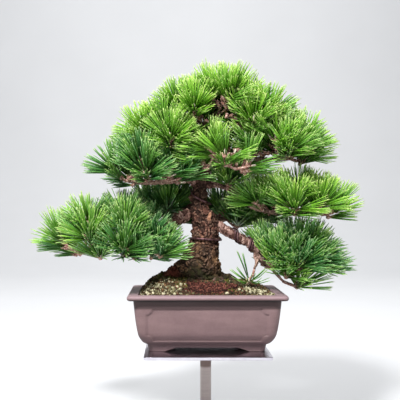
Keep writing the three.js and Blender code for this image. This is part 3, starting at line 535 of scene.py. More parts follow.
# The post's sides and rounded ends, the height of its first even row, and the even rows' number.
POST_SIDES = 72
POST_ROUNDING = 0.5
POST_FIRST_ROW = 5
POST_ROWS = 6
# How far below the plate the post has the plate's painted shadow.
PLATE_SHADOW_LENGTH = 25


def at_height(flat, height):
    """Points over an array of x and y, at one height or each at its own."""
    return np.column_stack([flat, np.broadcast_to(height, len(flat))])


def ring_points(half_x, half_y, corner, side_counts=(1, 1)):
    """A rectangle with round corners, anticlockwise from above, as an array of x and y. The counts
    say into how many parts the sides along y and those along x are cut."""
    arcs = []
    for quarter, (side_x, side_y) in enumerate(((1, -1), (1, 1), (-1, 1), (-1, -1))):
        centre = np.array([side_x * (half_x - corner), side_y * (half_y - corner)])
        angles = (quarter - 1 + np.arange(CORNER_STEPS + 1) / CORNER_STEPS) * math.pi / 2
        arcs.append(centre + corner * np.column_stack([np.cos(angles), np.sin(angles)]))
    parts = []
    for quarter, arc in enumerate(arcs):
        count = side_counts[quarter % 2]
        shares = np.arange(1, count)[:, None] / count
        parts += [arc, arc[-1] + (arcs[(quarter + 1) % 4][0] - arc[-1]) * shares]
    return np.concatenate(parts)


def closed_rings(rings):
    """Points and faces of a closed surface through rings of equal size, each above or inside the
    one before, with a flat face at both ends."""
    size = len(rings[0])
    points = np.concatenate(rings)
    faces = []
    for start in range(0, len(points) - size, size):
        for i in range(size):
            a, b = start + i, start + (i + 1) % size
            faces.append((a, b, b + size, a + size))
    faces.append(tuple(reversed(range(size))))
    faces.append(tuple(range(len(points) - size, len(points))))
    return points, faces


def quarter_turns(steps):
    return [math.pi / 2 * i / steps for i in range(steps + 1)]


def plate_rings(low, high, fillet):
    """Rings of a plate with round corners and rounded edges, from its underside to its top."""
    half = (high - low)[:2] / 2
    middle = (high + low)[:2] / 2
    turns = quarter_turns(FILLET_STEPS)
    levels = [(fillet * (1 - math.sin(t)), low[2] + fillet * (1 - math.cos(t))) for t in turns]
    levels += [(fillet * (1 - math.cos(t)), high[2] - fillet * (1 - math.sin(t))) for t in turns]
    rings = []
    for inset, z in levels:
        rings.append(at_height(ring_points(*(half - inset), PLATE_CORNER - inset) + middle, z))
    return rings


def even_normals(piece):
    """Flat faces keep flat shading where small rounded edges meet them."""
    piece.modifiers.new("even_normals", "WEIGHTED_NORMAL")


def build_stand():
    for name, fillet, material in (
        ("stand_foot", 1.2, dull_foot()),
        ("stand_plate", 0.6, polished_steel()),
    ):
        points, faces = closed_rings(plate_rings(*node_box(name), fillet))
        even_normals(add_piece(f"{name}_finished", points, faces, material, "stand_steel", [name]))
    low, high = node_box("stand_post")
    radius = (high[0] - low[0]) / 2
    angles = 2 * np.pi * np.arange(POST_SIDES) / POST_SIDES
    circle = np.column_stack([np.cos(angles), np.sin(angles)])
    heights = [*np.linspace(low[2] + POST_FIRST_ROW, high[2] - PLATE_SHADOW_LENGTH, POST_ROWS)]
    heights += [high[2] - share * PLATE_SHADOW_LENGTH for share in (0.9, 0.5)]
    levels = [(radius - POST_ROUNDING, low[2]), (radius, low[2] + POST_ROUNDING)]
    levels += [(radius, height) for height in heights]
    levels += [(radius, high[2] - POST_ROUNDING), (radius - POST_ROUNDING, high[2])]
    points, faces = closed_rings([at_height(circle * r, z) for r, z in levels])
    # The plate's painted shadow fades out down the post.
    near_plate = smoothstep(1.0, 0.9, (high[2] - points[:, 2]) / PLATE_SHADOW_LENGTH)
    even_normals(add_piece(
        "stand_post_finished", points, faces, satin_post(), "stand_post_metal", ["stand_post"],
        near_plate=near_plate,
    ))


# Pot

# Height above the pot's lowest point, and how far the outer wall lies inside the rim's edge.
WALL_PROFILE = [
    (0, 27), (4, 26.1), (8, 25.2), (9, 24.6), (9.8, 23), (10.6, 21.3), (12.6, 19), (14.9, 17.3),
    (18, 15.3), (21.4, 13.8), (24.5, 13), (27.9, 12.3), (32, 11.5), (37, 10.8), (43, 10),
    (50, 9.2), (58, 8.4), (66.4, 7.6),
]
# The rim: its underside, its top and the rounding of its outer edges. Its top is a strip so wide,
# with a rounded inner edge.
RIM_UNDER = 67.3
RIM_TOP = 74
RIM_ROUND = 3.1
RIM_STEPS = 5
RIM_STRIP = 14
INNER_ROUND = 1.5
# The inside: the floor's height, and how far its walls draw in on the way down.
FLOOR_LEVEL = 12.8
INNER_TAPER = 13
INNER_ROWS = 8
# The gaps between the feet: their height, how far up the wall they bend its rows, and half their
# width at the bottom and at the top.
FEET_HEIGHT = 5.3
FEET_BLEND = 14
FRONT_FEET_GAP = (54.7, 39.95)
SIDE_FEET_GAP = (29, 17)
# The feet's tops, where the wall's curve changes.
FEET_TOPS = (8.4, 10.2)
# The panels: how far they end from the pot's corners, their lowest and highest line, the radius of
# their hollowed corners, their depth, and half the width of their edges.
PANEL_BORDER = 25
PANEL_LOW = 14.7
PANEL_HIGH = 56.7
PANEL_NOTCH = 7.5
PANEL_RECESS = 1.9
PANEL_EDGE = 0.6
PANEL_END_EDGE = 2
PANEL_CORNER_EDGE = 0.9
# Corner radii of the body and of the rim's outside and inside.
BODY_CORNER = 9
RIM_CORNER = 5
INSIDE_CORNER = 8
# Steps along the pot and up its wall, and the closer rows round a change of its shape.
COLUMN_STEP = 1.9
ROW_STEP = 2.6
CLOSE_ROWS = (-1.3, -0.75, -0.35, 0, 0.35, 0.75, 1.3)
LEAST_ROW_STEP = 0.2
# So near to a flat wall a point lies on it.
ON_WALL = 0.01
# Rings of the underside and of the floor inside, as shares of their outermost ring.
UNDER_RINGS = (0.1, 0.3, 0.5, 0.62, 0.72, 0.8, 0.88, 0.94, 0.98)
FLOOR_RINGS = (0.7, 0.4, 0.12)
DRAIN_RADIUS = 8
DRAIN_SIDES = 40
DRAIN_CUT_LENGTH = 40
DRAIN_PLACES = (-40, 40)
# The screens' bars: how many lie each way, their width, and their height one way and the other.
SCREEN_BARS = 9
BAR_WIDTH = 1.2
BAR_HEIGHTS = (0.9, 0.98)


def between_feet(place, gap):
    """How far up the gap between two feet reaches at a place across it."""
    wide, narrow = gap
    return FEET_HEIGHT * np.clip((wide - np.abs(place)) / (wide - narrow), 0, 1)


def underside(x, y):
    return np.maximum(between_feet(x, FRONT_FEET_GAP), between_feet(y, SIDE_FEET_GAP))


def panel_share(along, up, half):
    """1 inside a wall panel with hollowed corners, 0 outside it, with a soft edge."""
    sideways = np.abs(along) - half
    upright = np.abs(up - (PANEL_LOW + PANEL_HIGH) / 2) - (PANEL_HIGH - PANEL_LOW) / 2
    hollow = PANEL_NOTCH - np.hypot(sideways, upright)
    share = 1
    for outside, edge in (
        (sideways, PANEL_END_EDGE), (upright, PANEL_EDGE), (hollow, PANEL_CORNER_EDGE),
    ):
        share = share * (1 - smoothstep(-edge, edge, outside))
    return share


def wall_draw(height):
    heights, draws = np.array(WALL_PROFILE).T
    return np.interp(height, heights, draws)


def wall_heights():
    """Heights of the rows up the outer wall, closer together where its shape changes."""
    top = WALL_PROFILE[-1][0]
    changes = [0, *FEET_TOPS, PANEL_LOW, PANEL_LOW + PANEL_NOTCH, PANEL_HIGH - PANEL_NOTCH, PANEL_HIGH]
    close = [change + step for change in changes for step in CLOSE_ROWS]
    heights = [0.0]
    for height in sorted([*np.arange(0, top, ROW_STEP), *close, top]):
        if heights[-1] + LEAST_ROW_STEP < height <= top:
            heights.append(height)
    return heights


def wall_ring(half_x, half_y, height, side_counts):
    """A row of the outer wall, lifted over the gaps between the feet and sunk in the panels."""
    draw = wall_draw(height)
    flat = ring_points(half_x - draw, half_y - draw, BODY_CORNER, side_counts)
    x, y = flat.T
    on_front = np.abs(y) > half_y - draw - ON_WALL
    on_side = np.abs(x) > half_x - draw - ON_WALL
    lift = underside(x, y)
    z = lift + height * (1 - lift / FEET_BLEND) if height < FEET_BLEND else np.full(len(x), height)
    sunk = wall_draw(z) - draw
    sunk_front = sunk + PANEL_RECESS * panel_share(x, z, half_x - PANEL_BORDER)
    sunk_side = sunk + PANEL_RECESS * panel_share(y, z, half_y - PANEL_BORDER)
    inward = np.column_stack([np.sign(x) * on_side * sunk_side, np.sign(y) * on_front * sunk_front])
    return at_height(flat - inward, z)


def rim_levels():
    """Height, draw and corner radius of the rows over the rim and down inside the pot."""
    body_top, body_draw = WALL_PROFILE[-1]
    rows = [
        (body_top + 0.5, body_draw - 0.3, BODY_CORNER),
        (RIM_UNDER, body_draw - 1, BODY_CORNER),
        (RIM_UNDER, 4, RIM_CORNER + 1),
    ]
    turns = quarter_turns(RIM_STEPS)
    low = RIM_UNDER + RIM_ROUND
    high = RIM_TOP - RIM_ROUND
    inner = RIM_TOP - INNER_ROUND
    rows += [(low - RIM_ROUND * math.cos(t), RIM_ROUND * (1 - math.sin(t)), RIM_CORNER) for t in turns]
    rows += [(high + RIM_ROUND * math.sin(t), RIM_ROUND * (1 - math.cos(t)), RIM_CORNER) for t in turns]
    rows += [(RIM_TOP, draw, RIM_CORNER) for draw in (5, 8, RIM_STRIP - INNER_ROUND)]
    for t in turns[1:]:
        draw = RIM_STRIP - INNER_ROUND * (1 - math.sin(t))
        rows.append((inner + INNER_ROUND * math.cos(t), draw, INSIDE_CORNER))
    for share in np.linspace(0.1, 1, INNER_ROWS):
        z = RIM_TOP + (FLOOR_LEVEL - RIM_TOP) * share
        rows.append((z, RIM_STRIP + INNER_TAPER * share**2, INSIDE_CORNER))
    return rows


def painted_pot_shade(height):
    """How much painted shade darkens the pot at a height: up to 1, and up to 2 for the painted shadow
    where no light comes. The shade is painted close under the rim, in the joint there, low on the
    wall and on the curve above the feet."""
    close_under = 1.2 * smoothstep(RIM_UNDER - 12.5, RIM_UNDER - 9, height) * (height < RIM_UNDER)
    joint = 2 * window(height, RIM_UNDER - 2.2, RIM_UNDER - 0.6, RIM_UNDER + 0.4, RIM_UNDER + 2.8)
    low_wall = 0.65 - 0.2 * smoothstep(24, 46, height) - 0.45 * smoothstep(19, 27, height)
    return np.maximum.reduce([close_under, joint, low_wall, window(height, 5, 7, 12, 15)])


def build_pot():
    low, high = node_box("pot")
    half_x, half_y = (high - low)[:2] / 2
    side_counts = (round(2 * half_y / COLUMN_STEP), round(2 * half_x / COLUMN_STEP))
    rings = [wall_ring(half_x, half_y, height, side_counts) for height in wall_heights()]
    under = [rings[0][:, :2] * share for share in UNDER_RINGS]
    under = [at_height(flat, underside(*flat.T)) for flat in under]
    for height, draw, corner in rim_levels():
        rings.append(at_height(ring_points(half_x - draw, half_y - draw, corner, side_counts), height))
    floor_ring = rings[-1]
    rings += [floor_ring * (share, share, 1) for share in FLOOR_RINGS]
    points, faces = closed_rings(under + rings)
    height = points[:, 2]
    # The clay gets painted shade by height, and a paler rim that is partly wear and partly painted
    # highlight.
    pot = add_piece(
        "pot_finished", points + (0, 0, low[2]), faces, unglazed_clay(), "unglazed_clay", ["pot"],
        aged=painted_pot_shade(height), worn=smoothstep(RIM_UNDER + 2.5, RIM_UNDER + 4.5, height),
    )
    cut_drains(pot, low[2])


def cut_drains(pot, bottom):
    shape = bmesh.new()
    for x in DRAIN_PLACES:
        bmesh.ops.create_cone(
            shape, cap_ends=True, segments=DRAIN_SIDES, radius1=DRAIN_RADIUS * MM,
            radius2=DRAIN_RADIUS * MM, depth=DRAIN_CUT_LENGTH * MM,
            matrix=Matrix.Translation(Vector((x, 0, bottom)) * MM),
        )
    cutter = placed("drain_cutter", mesh_from(shape, "drain_cutter"))
    cut = pot.modifiers.new("drains", "BOOLEAN")
    cut.object = cutter
    cut.solver = "EXACT"
    result = modified_mesh(pot)
    pot.modifiers.clear()
    pot.data = result
    bpy.data.objects.remove(cutter)


def build_screens():
    """Each drain screen is a square mesh of bars that cross."""
    material = black_plastic()
    for name in ("drain_screen_left", "drain_screen_right"):
        low, high = node_box(name)
        half = (high[0] - low[0]) / 2
        shape = bmesh.new()
        for offset in np.linspace(-1, 1, SCREEN_BARS) * (half - BAR_WIDTH / 2):
            for size, place in (
                ((2 * half, BAR_WIDTH, BAR_HEIGHTS[0]), (0, offset, 0)),
                ((BAR_WIDTH, 2 * half, BAR_HEIGHTS[1]), (offset, 0, 0)),
            ):
                bar = bmesh.ops.create_cube(shape, size=1)["verts"]
                bmesh.ops.scale(shape, verts=bar, vec=Vector(size) * MM)
                bmesh.ops.translate(shape, verts=bar, vec=Vector((low + high) / 2 + place) * MM)
        mesh = mesh_from(shape, f"{name}_mesh")
        finish_piece(f"{name}_mesh", mesh, material, [name])


# Soil

# Grains: how many shapes a kind has, how many flats each shape, how far it is stretched, and how
# much of its faces is kept, which makes it angular.
GRAIN_SHAPES = 8
GRAIN_FLATS = 7
GRAIN_STRETCH = (0.62, 1.3)
GRAIN_SHARE = 0.45
SOIL_HALF = (86.5, 60)
GRAIN_SPACING = 2.5
# The smallest and largest radius of each kind of grain, and by which share of it a grain stands
# above the ground.
GRAIN_RADII = {"pumice": (0.8, 2.3), "fired_clay": (1.0, 1.9), "dark": (1.0, 1.8)}
GRAIN_RISE = (0.05, 0.5)
# Where pale grains lie in patches: centre, reach, and how strongly.
PALE_PATCHES = [((-58, -48), (42, 28), 1.1), ((66, -46), (32, 24), 1.0)]
# One larger pale stone lies against the rim in front: its place and radius.
LARGE_STONE = (25, -57, 3.1)
GRIT_HALF = (70, 60)
GRIT_SPACING = 1.45
GRIT_RADII = (0.6, 1.35)
# Soil grains lie over the back of the red grit from here on.
GRIT_COVERED_FROM = -37
# Centre of the stray grit against the patch's, its reach against the patch's, and how much higher
# it lies.
GRIT_STRAY = (-4, -7)
GRIT_STRAY_REACH = 1.4
GRIT_STRAY_RISE = 0.8
# Moss: the number of cushions, the lowest and highest x and y, how far from the wood they grow, how
# far wood is looked for, and their radii.
MOSS_TUFTS = 360
MOSS_AREA = ((-78, 60), (-50, 52))
MOSS_REACH = 11
MOSS_SEARCH = 40
MOSS_RADII = (1.4, 3.2)
# A height above all soil, and the height above which wood hangs over the ground.
ABOVE_SOIL = 240
HANGING = 235


def grain_shapes(level):
    """Different lumpy grain shapes of radius 1, and their faces."""
    sphere = bmesh.new()
    bmesh.ops.create_icosphere(sphere, subdivisions=level, radius=1)
    points = np.array([v.co[:] for v in sphere.verts])
    faces = [[v.index for v in f.verts] for f in sphere.faces]
    sphere.free()
    shapes = []
    for _ in range(GRAIN_SHAPES):
        shift = rng.uniform(-50, 50, 3)
        lumps = np.array([noise.noise(Vector(p * 1.1 + shift)) for p in points])
        flats = unit(rng.normal(size=(GRAIN_FLATS, 3)))
        reach = np.min(0.7 / np.maximum(points @ flats.T, 0.3), axis=1)
        shapes.append(points * np.minimum(1 + 0.5 * lumps, reach)[:, None])
    return np.array(shapes), faces


def turned(count):
    """Random rotations as matrices."""
    w, x, y, z = unit(rng.normal(size=(count, 4))).T
    rows = [
        [1 - 2 * (y * y + z * z), 2 * (x * y - z * w), 2 * (x * z + y * w)],
        [2 * (x * y + z * w), 1 - 2 * (x * x + z * z), 2 * (y * z - x * w)],
        [2 * (x * z - y * w), 2 * (y * z + x * w), 1 - 2 * (x * x + y * y)],
    ]
    return np.array(rows).transpose(2, 0, 1)


def add_grains(name, grains, material, slot, level=2, smooth=False):
    """One piece with all grains, which are given by x, y, z and radius."""
    grains = np.array(grains)
    count = len(grains)
    shapes, faces = grain_shapes(level)
    base = shapes[rng.integers(0, GRAIN_SHAPES, count)]
    stretch = rng.uniform(*GRAIN_STRETCH, (count, 1, 3))
    points = np.einsum("nij,nkj->nki", turned(count), base * stretch)
    points = points * grains[:, 3:, None] + grains[:, None, :3]
    size = base.shape[1]
    faces = repeated(faces, count, size)
    tint = np.repeat(rng.random(count), size)
    piece = add_piece(name, points.reshape(-1, 3), faces, material, slot, smooth=smooth, tint=tint)
    piece.data = decimated(piece.data, round(GRAIN_SHARE * len(faces)))


def below(x, y, tree):
    """Where a surface is first met from above at a place, in metres, or nothing."""
    return tree.ray_cast(Vector((x, y, ABOVE_SOIL)) * MM, Vector((0, 0, -1)))[0]


def ground_at(x, y, ground, wood):
    """The ground's height at a place, or nothing where wood stands on it."""
    hit = below(x, y, ground)
    over = below(x, y, wood)
    if hit is None or over is not None and hit.z <= over.z < HANGING * MM:
        return None
    return hit.z / MM


def patch(x, y, centre, reach):
    """1 at the centre of a ragged patch, falling to 0 at its edge."""
    ragged = 0.35 * noise.noise(Vector((x / 9, y / 9, centre[0])))
    return max(0.0, 1 - math.hypot((x - centre[0]) / reach[0], (y - centre[1]) / reach[1]) + ragged)


def pick_kind(x, y):
    """Pale pumice lies mostly at the front left, and some at the front right. Fired clay lies more
    on the left."""
    pale = 0.05 + sum(strength * patch(x, y, centre, reach) for centre, reach, strength in PALE_PATCHES)
    brown = 0.42 if x < -20 else 0.26
    draw = rng.random()
    if draw < min(pale, 0.72):
        return "pumice"
    return "fired_clay" if draw < pale + brown else "dark"


def scattered(half, spacing):
    """Places on a shaken grid."""
    for x in np.arange(-half[0], half[0], spacing):
        for y in np.arange(-half[1], half[1], spacing):
            px, py = np.array([x, y]) + rng.uniform(-0.5, 0.5, 2) * spacing
            if abs(px) < half[0] and abs(py) < half[1]:
                yield px, py


def stray_grit(x, y, strays):
    """How much of the ground stray red grit covers, between 0 and 1."""
    return min(1.0, 1.6 * patch(x, y, *strays))


def build_soil():
    looks = {
        "pumice": grain_look("pumice", (62, 56, 36), (124, 117, 84), (204, 196, 164), 0.6),
        "fired_clay": grain_look("fired_clay", (48, 34, 24), (84, 60, 40), (128, 96, 64)),
        "dark": grain_look("dark_grain", (30, 28, 20), (60, 56, 38), (98, 92, 62)),
    }
    grit_bed = grain_look("red_grit_bed", (40, 22, 18), (70, 38, 30), (98, 56, 44), 0.5)
    for name, material in (("soil", dark_earth()), ("red_grit_patch", grit_bed)):
        NODES[name].data.materials.clear()
        NODES[name].data.materials.append(material)
    soil, grit, wood = (tree_of(name) for name in ("soil", "red_grit_patch", "wood"))
    low, high = node_box("red_grit_patch")
    strays = (((low + high) / 2)[:2] + GRIT_STRAY, (high - low) / 2 * GRIT_STRAY_REACH)
    grains = {kind: [] for kind in looks}
    for x, y in scattered(SOIL_HALF, GRAIN_SPACING):
        z = ground_at(x, y, soil, wood)
        on_grit = below(x, y, grit)
        if z is None:
            continue
        if on_grit is not None:
            if y < GRIT_COVERED_FROM + 3 * noise.noise(Vector((x / 7, 0, 0))):
                continue
            z = on_grit.z / MM
        elif y < GRIT_COVERED_FROM and rng.random() < 0.8 * stray_grit(x, y, strays):
            continue
        kind = pick_kind(x, y)
        radius = rng.uniform(*GRAIN_RADII[kind])
        grains[kind].append((x, y, z + radius * rng.uniform(*GRAIN_RISE), radius))
    x, y, radius = LARGE_STONE
    grains["pumice"].append((x, y, ground_at(x, y, soil, wood) + 0.7 * radius, radius))
    for kind, look in looks.items():
        add_grains(f"{kind}_grains", grains[kind], look, "soil_grains")
    build_grit(soil, grit, wood, strays)
    build_moss(soil, wood)


def build_grit(soil, grit, wood, strays):
    """Fine red grit, with stray grains round the edge of the patch."""
    grains = []
    for x, y in scattered(GRIT_HALF, GRIT_SPACING):
        inside = below(x, y, grit) is not None
        if not inside and rng.random() > stray_grit(x, y, strays):
            continue
        z = ground_at(x, y, grit if inside else soil, wood)
        if z is None:
            continue
        radius = rng.uniform(*GRIT_RADII)
        z += radius * rng.uniform(0, 0.7) + (0 if inside else GRIT_STRAY_RISE)
        grains.append((x, y, z, radius))
    look = grain_look("red_grit", (42, 20, 17), (90, 47, 40), (142, 88, 74), 0.5)
    add_grains("red_grit_grains", grains, look, "red_grit", level=1)


def build_moss(soil, wood):
    """Cushions of moss on the soil close round the trunk's foot and its roots."""
    cushions = []
    while len(cushions) < MOSS_TUFTS:
        x, y = (rng.uniform(*side) for side in MOSS_AREA)
        z = ground_at(x, y, soil, wood)
        if z is None:
            continue
        gap = wood.find_nearest(Vector((x, y, z)) * MM, MOSS_SEARCH * MM)[3]
        if gap is None or gap / MM > MOSS_REACH * rng.random() + 1:
            continue
        cushions.append((x, y, z + rng.uniform(-0.6, 0.8), rng.uniform(*MOSS_RADII)))
    add_grains("moss_cushions", cushions, moss_look(), "soil_grains", smooth=True)


# Wood

WOOD_VOXEL = 0.75
WOOD_SMOOTHING = 10
WOOD_TRIANGLES = 185000
# The thickness at which bark turns old, and the thickness of the full branches, which swell.
TRUNK_THICKNESS = (12, 21)
FULL_BRANCH = (7, 10, 17, 22)
BRANCH_SWELL = 1.4
# The wood's thickness is measured by a ray that starts this far inside and is so long. Where it
# finds no far side, the wood counts as thin. The thickness is averaged a number of times.
SKIN = 0.2
THICKEST = 80
THIN_WOOD = 4.0
THICKNESS_ROUNDS = 25
# How often the bark's height is averaged to tell what stands out.
RELIEF_ROUNDS = 14
# Wood this far below the soil's top is left plain.
BURIED = 22
# Old bark: the size of its plates, the depth of its cracks, and the size, number and height of its
# layers of flakes. Then young bark's plates and depth.
PLATE_SIZE = 13
CRACK_DEPTH = 2.6
FLAKE_SIZE = 17
FLAKE_STEPS = 8
FLAKE_RELIEF = 7
YOUNG_PLATE_SIZE = 3.6
YOUNG_DEPTH = 0.9
# So close to a wire the bark is flattened.
WIRE_REACH = 4.5
# Where a cut branch left a scar, how far round it the scar reaches, and its soft edge.
SCAR = (6, -20, 285.5)
SCAR_REACH = 7
SCAR_EDGE = 1.2
# A reddish knob of root at the trunk's left foot, and how far it reaches.
RED_ROOT = (-45, -8, 213)
RED_ROOT_REACH = 16
# How far the low right branch sinks and the trunk's left side widens.
SETTLED_BY = 6


def local_thickness(points, normals, edges, tree):
    """How thick the wood is under each point."""
    thickness = np.full(len(points), THIN_WOOD)
    for i, (point, normal) in enumerate(zip(points * MM, normals)):
        inward = Vector(-normal)
        start = Vector(point) + inward * SKIN * MM
        through = tree.ray_cast(start, inward, THICKEST * MM)[3]
        if through is not None:
            thickness[i] = through / MM
    return spread_evenly(np.clip(thickness, 2, 50), edges, THICKNESS_ROUNDS)


def plates(point, size):
    """How high a bark plate stands at a point, 0 in a crack and 1 on the plate, and the plate's own
    number between 0 and 1."""
    sway = noise.noise_vector(point / (size * 0.9)) * size * 0.75
    sway += noise.noise_vector(point / 2.6) * 1.5 + noise.noise_vector(point / 1.1) * 0.5
    spot = (point + sway) / size
    spot.z *= 0.8
    distances, centres = noise.voronoi(spot)
    share = min(1.0, max(0.0, (distances[1] - distances[0] - 0.01) / 0.16))
    return share, noise.cell(centres[0] * 7.3)


def flakes(point):
    """Thin layers of bark whose edges run like contour lines: the height at a point between 0 and
    1, how near it lies to a layer's edge, and the layer's number."""
    sway = noise.noise_vector(point / 5) * 3 + noise.noise_vector(point / 1.7) * 0.9
    spot = (point + sway) / FLAKE_SIZE
    spot.z *= 1.4
    place = (0.5 + 0.5 * noise.fractal(spot, 0.7, 2.0, 3)) * FLAKE_STEPS
    layer = math.floor(place)
    rise = min(1.0, (place - layer) / 0.28)
    return (layer + rise * rise * (3 - 2 * rise)) / FLAKE_STEPS, 1 - rise, layer


def bark_relief(spot, age, thickness):
    """The bark's height at a point, how far up a plate it lies, and the plate's number. The age
    runs from 0 for young bark to 1 for old."""
    large, own = plates(spot, PLATE_SIZE)
    small, own_small = plates(spot, YOUNG_PLATE_SIZE)
    flake, edge, layer = flakes(spot)
    own = noise.cell(Vector((own * 13.7, layer * 2.3, 0.5)))
    gnarl = noise.fractal(spot / 26, 0.8, 2.0, 2)
    knobs = noise.noise(spot / 6.5)
    deep = CRACK_DEPTH * (0.8 + 0.9 * noise.noise(spot / 15))
    depth_old = deep * (large - 1) + FLAKE_RELIEF * (flake - 0.55) + 0.4 * (small - 1)
    depth_young = YOUNG_DEPTH * (small - 0.8 + 0.6 * own_small) + 0.25 * FLAKE_RELIEF * (flake - 0.55)
    lumps = age * 1.8 * gnarl + (1 - age) * 0.14 * thickness * knobs
    height = age * depth_old + (1 - age) * depth_young + lumps + 0.25 * noise.noise(spot / 1.3)
    up = age * (0.7 * large + 0.3 * small) * (1 - 0.5 * edge) + (1 - age) * (0.4 + 0.6 * small)
    return height, up, age * (0.65 * own + 0.35 * own_small) + (1 - age) * own_small


def settled(points):
    """The points, with the low right branch sunk where it leaves the trunk and the trunk's left
    side wider near the ground."""
    x, y, z = points.T
    sunk = window(x, 12, 28, 42, 72) * window(z, 234, 244, 292, 302) * (1 - smoothstep(2, 10, y))
    wide = window(z, 208, 220, 226, 248) * (1 - smoothstep(-18, -6, x)) * (x > -45)
    return points - SETTLED_BY * np.column_stack([wide, 0 * x, sunk])


def wood_relief(points, old, thickness):
    """How far the bark stands out at each point, how far up a plate it lies, and the plate's
    number."""
    wires = tree_of(*WIRES)
    swell = BRANCH_SWELL * window(thickness, *FULL_BRANCH)
    lowest = node_box("soil")[1][2] - BURIED
    heights, plate, own = np.zeros((3, len(points)))
    for i, place in enumerate(points):
        if place[2] < lowest:
            continue
        spot = Vector(place)
        heights[i], plate[i], own[i] = bark_relief(spot, old[i], thickness[i])
        heights[i] += swell[i]
        to_wire = wires.find_nearest(spot * MM, WIRE_REACH * MM)[3]
        if heights[i] > 0 and to_wire is not None:
            heights[i] *= smoothstep(WIRE_REACH / 3, WIRE_REACH, to_wire / MM)
    return heights, plate, own


def build_wood():
    name = "trunk_and_branches"
    mesh = remeshed(merged_node("wood"), WOOD_VOXEL, WOOD_SMOOTHING, name)
    points, normals, edges = mesh_arrays(mesh)
    tree = BVHTree.FromPolygons((points * MM).tolist(), [p.vertices[:] for p in mesh.polygons])
    thickness = local_thickness(points, normals, edges, tree)
    old = smoothstep(*TRUNK_THICKNESS, thickness)
    heights, plate, own = wood_relief(points, old, thickness)
    from_scar = np.linalg.norm((points - SCAR) * (1.1, 1, 0.85), axis=1)
    from_scar *= np.array([1 + 0.5 * noise.noise(Vector(p) / 4) for p in points])
    scar = 1 - smoothstep(SCAR_REACH - SCAR_EDGE, SCAR_REACH, from_scar)
    heights = heights * (1 - scar) + scar * 0.5 * np.cos(from_scar * 2.6)
    from_red = np.linalg.norm(points - RED_ROOT, axis=1) / RED_ROOT_REACH
    moved = settled(points + normals * heights[:, None])
    swayed = moved[:, 2] + 8 * np.sin(moved[:, 0] / 7)
    for layer, values in {
        "plate": np.maximum(plate, scar),
        # How far bark stands out from its neighbours, which the bark's material turns into painted
        # highlight and painted shade.
        "relief": 0.5 + (heights - spread_evenly(heights, edges, RELIEF_ROUNDS)) / 2.4,
        "ruddy": 1 - smoothstep(0.6, 1, from_red),
        "own": own,
        "thin": 1 - old,
        "slender": 1 - smoothstep(5, 9, thickness),
        "scar": scar,
        "low": 1 - smoothstep(232, 262, swayed),
        "foot": 1 - smoothstep(205, 228, swayed),
    }.items():
        set_attribute(mesh, layer, values)
    set_points(mesh, moved)
    set_smooth(mesh)
    finish_piece(name, decimated(mesh, WOOD_TRIANGLES), bark_look(), ["wood"])


# Wires

# Rounding thins a square wire, and this makes up for it.
WIRE_SWELL = 0.65


def build_wires():
    """Each wire is rounded from its node's square one."""
    material = wire_look()
    for name in WIRES:
        shape = merged_node(name)
        for vertex in shape.verts:
            vertex.co = Vector(settled(np.array([vertex.co]) / MM)[0]) * MM
        bmesh.ops.join_triangles(
            shape, faces=shape.faces, angle_face_threshold=0.8, angle_shape_threshold=1.2,
            cmp_seam=False, cmp_sharp=False, cmp_uvs=False, cmp_vcols=False, cmp_materials=False,
        )
        mesh = mesh_from(shape, f"{name}_round")
        set_smooth(mesh)
        wire = finish_piece(f"{name}_round", mesh, material, [name])
        rounding = wire.modifiers.new("rounding", "SUBSURF")
        rounding.levels = rounding.render_levels = 2
        swell = wire.modifiers.new("swell", "DISPLACE")
        swell.strength = WIRE_SWELL * MM
        swell.mid_level = 0


# Needles

# The CAD's needles: the shortest one, and how near each other two of one shoot have their roots.
SHORTEST_CAD_NEEDLE = 35
SAME_SHOOT = 4.6
# Each tuft is a few fans of needles, each on a short stem. Their widest lean from the fan's axis is
# in radians, and the fans' axes are pulled towards the tuft's.
FANS_PER_TUFT = 5
PAIRS_PER_FAN = 12
FAN_SPREAD = 0.4
FAN_PULL = 0.22
STEM_LENGTHS = (4, 9)
STEM_RADII = (1.5, 1.15)
STEM_SIDES = 8
# Only this share of a needle's slope below the horizontal is kept.
DROOP_KEPT = 0.25
# Needles lie within this angle of one of the CAD's.
NEAR_CAD_NEEDLE = 0.42
NEEDLE_LENGTHS = (42, 48)
# How far below its stem's end a fan's outermost needles stand, how far that varies, and how far
# from the stem's middle they stand.
FAN_DEPTH = 5.5
FAN_UNEVEN = 1.5
STEM_SURFACE = 0.9
# The share of fans with a bud, beside each tuft's first.
BUD_SHARE = 0.25
# Tufts on a twig of their own: their branch, the twig's start near the wood, their place and axis,
# and how much more painted light than their branch's others they get.
OWN_TWIG_TUFTS = [
    ("inner", (8, 4, 327), (8, 6, 334), (-0.1, 0.35, 0.93), 0),
    ("inner", (20, 4, 327), (20, 4, 333), (0.1, -0.1, 0.99), 0),
    ("inner", (33, 2, 322), (33, 4, 328), (0.25, 0.3, 0.92), 0),
    ("inner", (30, -2, 322), (30, -6, 327), (-0.1, -0.35, 0.93), 0),
    ("back_right", (16, 30, 283), (26, 36, 290), (0.85, -0.15, -0.05), 0),
    ("back_right", (32, 46, 280), (46, 40, 270), (0.3, -0.3, 0.9), 0),
    ("right_low", (84, -17, 220), (119, -27, 192), (0.4, -0.3, 0.8), 0.35),
    ("right_low", (100, -15, 216), (104, -34, 206), (0.1, -0.6, 0.7), 0.35),
    ("right_low", (82, -17, 224), (86, -33, 222), (0.2, -0.45, 0.85), 0.25),
    ("left_low", (-138, -36, 236), (-138, -38, 231), (-0.2, -0.5, 0.85), 0.1),
    ("left_low", (-94, -36, 236), (-94, -38, 231), (0.15, -0.55, 0.8), 0.1),
    ("left_low", (-60, -34, 238), (-61, -38, 233), (0.4, -0.3, 0.85), 0.1),
]
